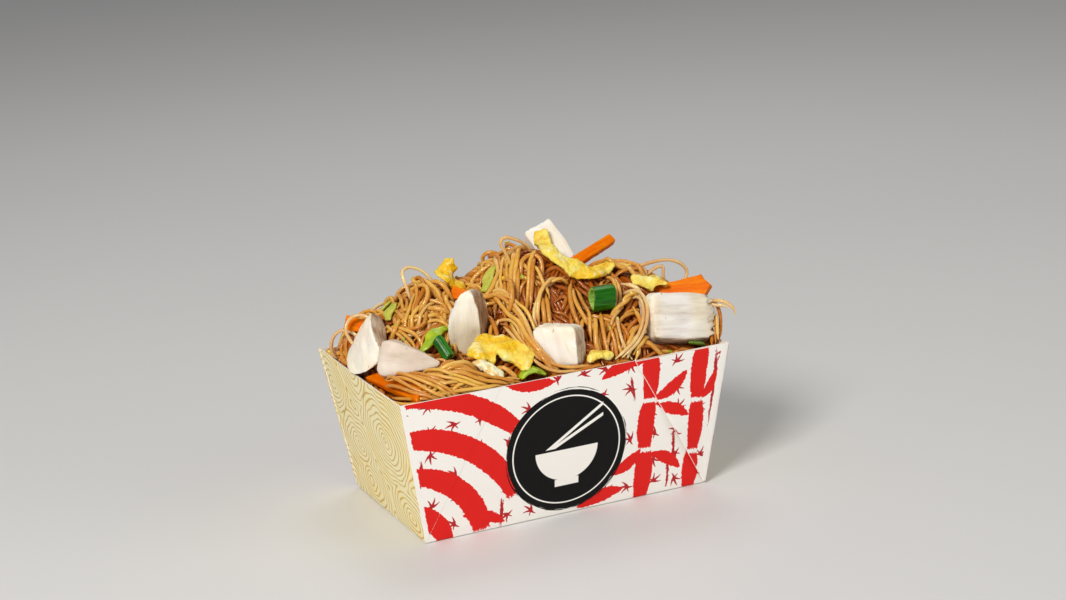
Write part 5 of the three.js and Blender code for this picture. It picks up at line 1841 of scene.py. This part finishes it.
def settle(strands, tree):
    # strands push each other apart, rest on the core and keep off the toppings and walls
    sizes = np.array([len(s["points"]) for s in strands])
    points = np.vstack([s["points"] for s in strands])
    owner = np.repeat(np.arange(len(strands)), sizes)
    index = np.concatenate([np.arange(n) for n in sizes])
    sprung = np.repeat([s["kind"] == "spring" for s in strands], sizes)
    upper = np.repeat([s["kind"] == "top" for s in strands], sizes)
    inner = np.flatnonzero((index > 0) & (index < np.repeat(sizes, sizes) - 1))
    start = points.copy()
    wanted = points[:, 2] - nestHeight(points[:, 0], points[:, 1])
    weight = np.where(sprung, 0.1, np.where(upper, 0.6, 1.0))
    reach = 2 * noodle["radius"] * 0.97
    forward = np.flatnonzero(owner[:-1] == owner[1:])
    restLength = np.linalg.norm(points[forward + 1] - points[forward], axis=1)
    byTopping = [i for i, p in enumerate(points)
                 if not sprung[i] and tree.find_nearest(Vector(p), 7.0)[0] is not None]
    for number in range(noodle["rounds"]):
        a, b = closePairs(points, reach)
        apart = (owner[a] != owner[b]) | (np.abs(index[a] - index[b]) > 4)
        a, b = a[apart], b[apart]
        gap = points[a] - points[b]
        distance = np.linalg.norm(gap, axis=1)
        touch = distance < reach
        a, b, gap, distance = a[touch], b[touch], gap[touch], np.maximum(distance[touch], 1e-3)
        push = gap / distance[:, None] * (reach - distance)[:, None] * 0.5
        push[:, 2] *= 1.25  # stacked strands part mostly up and down
        shares = weight[a] + weight[b]
        move, hits = np.zeros_like(points), np.zeros(len(points))
        np.add.at(move, a, push * (2 * weight[a] / shares)[:, None])
        np.add.at(move, b, -push * (2 * weight[b] / shares)[:, None])
        np.add.at(hits, a, 1)
        np.add.at(hits, b, 1)
        points += move / np.maximum(1, 0.55 * hits)[:, None]
        # stiffness, and a light pull back to where the strand was laid
        bend = 0.5 * (points[inner - 1] + points[inner + 1]) - points[inner]
        points[inner] += noodle["stiffness"] * bend
        points += noodle["pullBack"] * (start - points)
        stretch = points[forward + 1] - points[forward]
        now = np.maximum(np.linalg.norm(stretch, axis=1), 1e-6)
        fix = stretch * (noodle["tension"] * (1 - restLength / now))[:, None]
        np.add.at(points, forward, fix)
        np.add.at(points, forward + 1, -fix)
        # gravity, down to the core and no further
        level = nestHeight(points[:, 0], points[:, 1])
        drop = np.clip(points[:, 2] - level - wanted, -0.4, 0.4) * noodle["sinking"]
        points[:, 2] -= np.where(sprung, 0, drop)
        low = ~sprung & (points[:, 2] < level + lowest)
        points[low, 2] = (level + lowest)[low]
        # inside the walls up to the rim
        below = points[:, 2] < tray["height"] + 0.6
        room = tray["board"] + noodle["radius"] + 0.2
        height = np.minimum(points[:, 2], tray["height"])
        for axis, limit in ((0, halfLength(height) - room), (1, halfWidth(height) - room)):
            inside = np.clip(points[:, axis], -limit, limit)
            points[:, axis] = np.where(below, inside, points[:, axis])
        if number % 3 == 2 or number > noodle["rounds"] - 3:
            clear = noodle["radius"] * 0.9
            for i in byTopping:
                spot, normal, _, _ = tree.find_nearest(Vector(points[i]), 5.0)
                if spot is None:
                    continue
                depth = (Vector(points[i]) - spot).dot(normal)
                if depth < clear:
                    points[i] += np.array(normal) * (clear - depth) * 0.8
    # height above the open level, which the noodle colour turns into painted shade
    above = points[:, 2] - openHeight(points[:, 0], points[:, 1])
    cuts = np.cumsum(sizes)[:-1]
    for strand, placed, high in zip(strands, np.split(points, cuts), np.split(above, cuts)):
        strand["points"], strand["above"] = placed, high


def makeTubeNodes():
    tree = bpy.data.node_groups.new("noodleTubes", "GeometryNodeTree")
    bench["tree"] = tree
    for way in ("INPUT", "OUTPUT"):
        tree.interface.new_socket("Geometry", in_out=way, socket_type="NodeSocketGeometry")
    source, sink = tree.nodes.new("NodeGroupInput"), tree.nodes.new("NodeGroupOutput")
    toCurve = addNode("GeometryNodeMeshToCurve")
    line = feedAll(toCurve, Mesh=source.outputs["Geometry"])["Curve"]
    circle = addNode("GeometryNodeCurvePrimitiveCircle")
    size = {"Resolution": noodle["sides"], "Radius": noodle["radius"] * mm}
    ring = feedAll(circle, **size)["Curve"]
    thick = addNode("GeometryNodeInputNamedAttribute", data_type="FLOAT")
    thick = feedAll(thick, Name="thick")["Attribute"]
    sweep = feedAll(addNode("GeometryNodeCurveToMesh"), Curve=line,
                    Profile_Curve=ring, Scale=thick, Fill_Caps=True)
    soft = feedAll(addNode("GeometryNodeSetShadeSmooth"), Geometry=sweep["Mesh"])
    feedAll(sink, Geometry=soft["Geometry"])
    return tree


tubeNodes = makeTubeNodes()


def tubesFrom(strands, name):
    # a line mesh with its masks, turned into tubes by geometry nodes
    spots, edges = [], []
    masks = {"tint": [], "depth": [], "along": [], "thick": []}
    for number, strand in enumerate(strands):
        line, above = strand["points"], strand["above"]
        length = lengthOf(line)
        count = max(6, int(length / noodle["tubeStep"]))
        first, share = len(spots), np.linspace(0, 1, count)
        run = np.linspace(0, length, count) / 100 + number
        spots += (smoothPath(line, count) * mm).tolist()
        edges += [(first + k, first + k + 1) for k in range(count - 1)]
        masks["tint"] += [strand["tint"]] * count
        masks["depth"] += np.interp(share, np.linspace(0, 1, len(above)), above).tolist()
        masks["along"] += run.tolist()
        plump = 0.8 + 0.34 * math.sin(12.9 * number) ** 2
        if strand["kind"] == "spring":
            plump = 0.84
        wave = 0.05 * np.sin(37 * np.linspace(0, length, count) / 100 + number)
        fromEnd = np.minimum(np.arange(count), np.arange(count)[::-1])
        masks["thick"] += ((plump + wave) * np.clip(fromEnd / 2.0, 0.45, 1)).tolist()
    mesh = bpy.data.meshes.new(name)
    mesh.from_pydata(spots, edges, [])
    piece = bpy.data.objects.new(name, mesh)
    scene.collection.objects.link(piece)
    for mask, values in masks.items():
        storeMask(piece, mask, values)
    applied(piece, "NODES", node_group=tubeNodes)
    return piece


def makeNoodleLook():
    stuff, shader = newFood("friedNoodle", (3, 1.3, 0.3), Subsurface_Weight=0.3,
                            Coat_Weight=0.4, Coat_Roughness=0.1, Specular_IOR_Level=0.3)
    place = objectPlace()
    spots = spotsOn(place, 90.0, 620.0)
    tint, depth = maskOf("tint"), maskOf("depth")
    colour = blend(ramp(tint, 0.0, 1.0), linear(190, 112, 12), linear(234, 184, 82))
    colour = blend(ramp(tint, 0.9, 1.7), colour, linear(240, 214, 158))
    patch = ramp(noiseOf(place, 26, 2), 0.4, 0.66)
    colour = tinted(colour, patch, 0.45, linear(196, 106, 10))
    colour = tinted(colour, spots["Blotch"], 0.3, linear(180, 92, 10))
    colour = tinted(colour, spots["Speckle"], 0.16, linear(250, 214, 130))
    # painted shade: strands below the heap's open level turn darker orange-brown, as shade between
    # them
    deep = ramp(depth, 2.2, -2.8, 0.0, 0.95)
    colour = blend(deep, colour, linear(160, 78, 8))
    bump = bumpOf(noiseOf(place, 700, 3), 0.3, 0.0004)
    feedAll(shader, Base_Color=colour, Normal=bump,
            Roughness=ramp(spots["Blotch"], 0, 1, 0.3, 0.46))
    return stuff


toppingTree = joinedTree(toppings)
strands = tuckUnder(seedStrands(), toppingTree)
print("strands laid:", len(strands))
settle(strands, toppingTree)
print("strands settled")
noodleLook = makeNoodleLook()
for name, kinds in (
    ("noodles_deep", ("deep",)),
    ("noodles_middle", ("middle",)),
    ("noodles_top", ("top", "spring")),
):
    piece = tubesFrom([s for s in strands if s["kind"] in kinds], name)
    finished(piece, name, ["noodles"], [noodleLook])
    print(name, len(piece.data.polygons), "faces")

# Crumbs of omelette and shreds of onion and leek that cling to the strands.
scraps = [
    {"name": "omelette_crumbs", "slot": "omelette", "look": eggLooks["plain"], "count": 22,
     "size": (1.0, 2.0), "shape": (1.0, 0.8, 0.6)},
    {"name": "onion_shreds", "slot": "spring_onion", "look": leekLooks["plain"], "count": 14,
     "size": (1.4, 2.8), "shape": (1.0, 0.42, 0.3)},
    {"name": "leek_shreds", "slot": "leek", "look": leekLooks["dull"], "count": 10,
     "size": (1.8, 3.2), "shape": (1.0, 0.4, 0.28)},
]


def openSpots():
    # places on top of the strands with nothing over them
    points = np.vstack([s["points"] for s in strands if s["kind"] != "spring"])
    a, b = closePairs(points, 2.4)
    beneath = np.zeros(len(points), dtype=bool)
    overlap = np.hypot(*(points[a, :2] - points[b, :2]).T) < 1.9
    beneath[a[overlap & (points[b, 2] > points[a, 2] + 0.9)]] = True
    beneath[b[overlap & (points[a, 2] > points[b, 2] + 0.9)]] = True
    high = points[:, 2] > openHeight(points[:, 0], points[:, 1]) - 1.0
    return [p for p in points[high & ~beneath]
            if toppingTree.find_nearest(Vector(p), 4.0)[0] is None]


def makeScraps(made, spots):
    pieces = []
    for spot in draw.sample(spots, made["count"]):
        size = draw.uniform(*made["size"])
        up = heapNormal(spot[0], spot[1])
        at = spot + up * (noodle["radius"] * 0.8 + 0.3 * size * made["shape"][2])
        piece = started(bpy.ops.mesh.primitive_ico_sphere_add, subdivisions=2, radius=0.5)
        places = placesOf(piece)
        uneven = 1 + 0.5 * noiseAt(places, 1.6, draw.uniform(0, 90), 2)
        places = places * uneven[:, None] * made["shape"] * size
        places[:, 2] += 0.12 * places[:, 0] ** 2 / size
        setPlaces(piece, places)
        lay = Vector(up).to_track_quat("Z", "Y").to_matrix().to_4x4()
        setDown(piece, at, lay @ Matrix.Rotation(draw.uniform(0, 6.28), 4, "Z"))
        pieces.append(piece)
    piece = merged(pieces)
    storeMask(piece, "lump", np.full(len(piece.data.vertices), 0.55))
    return smoothed(piece, 80)


spots = openSpots()
for made in scraps:
    finished(makeScraps(made, spots), made["name"], ["noodles"], [made["look"]])
print("scraps laid")

print("scene ready")
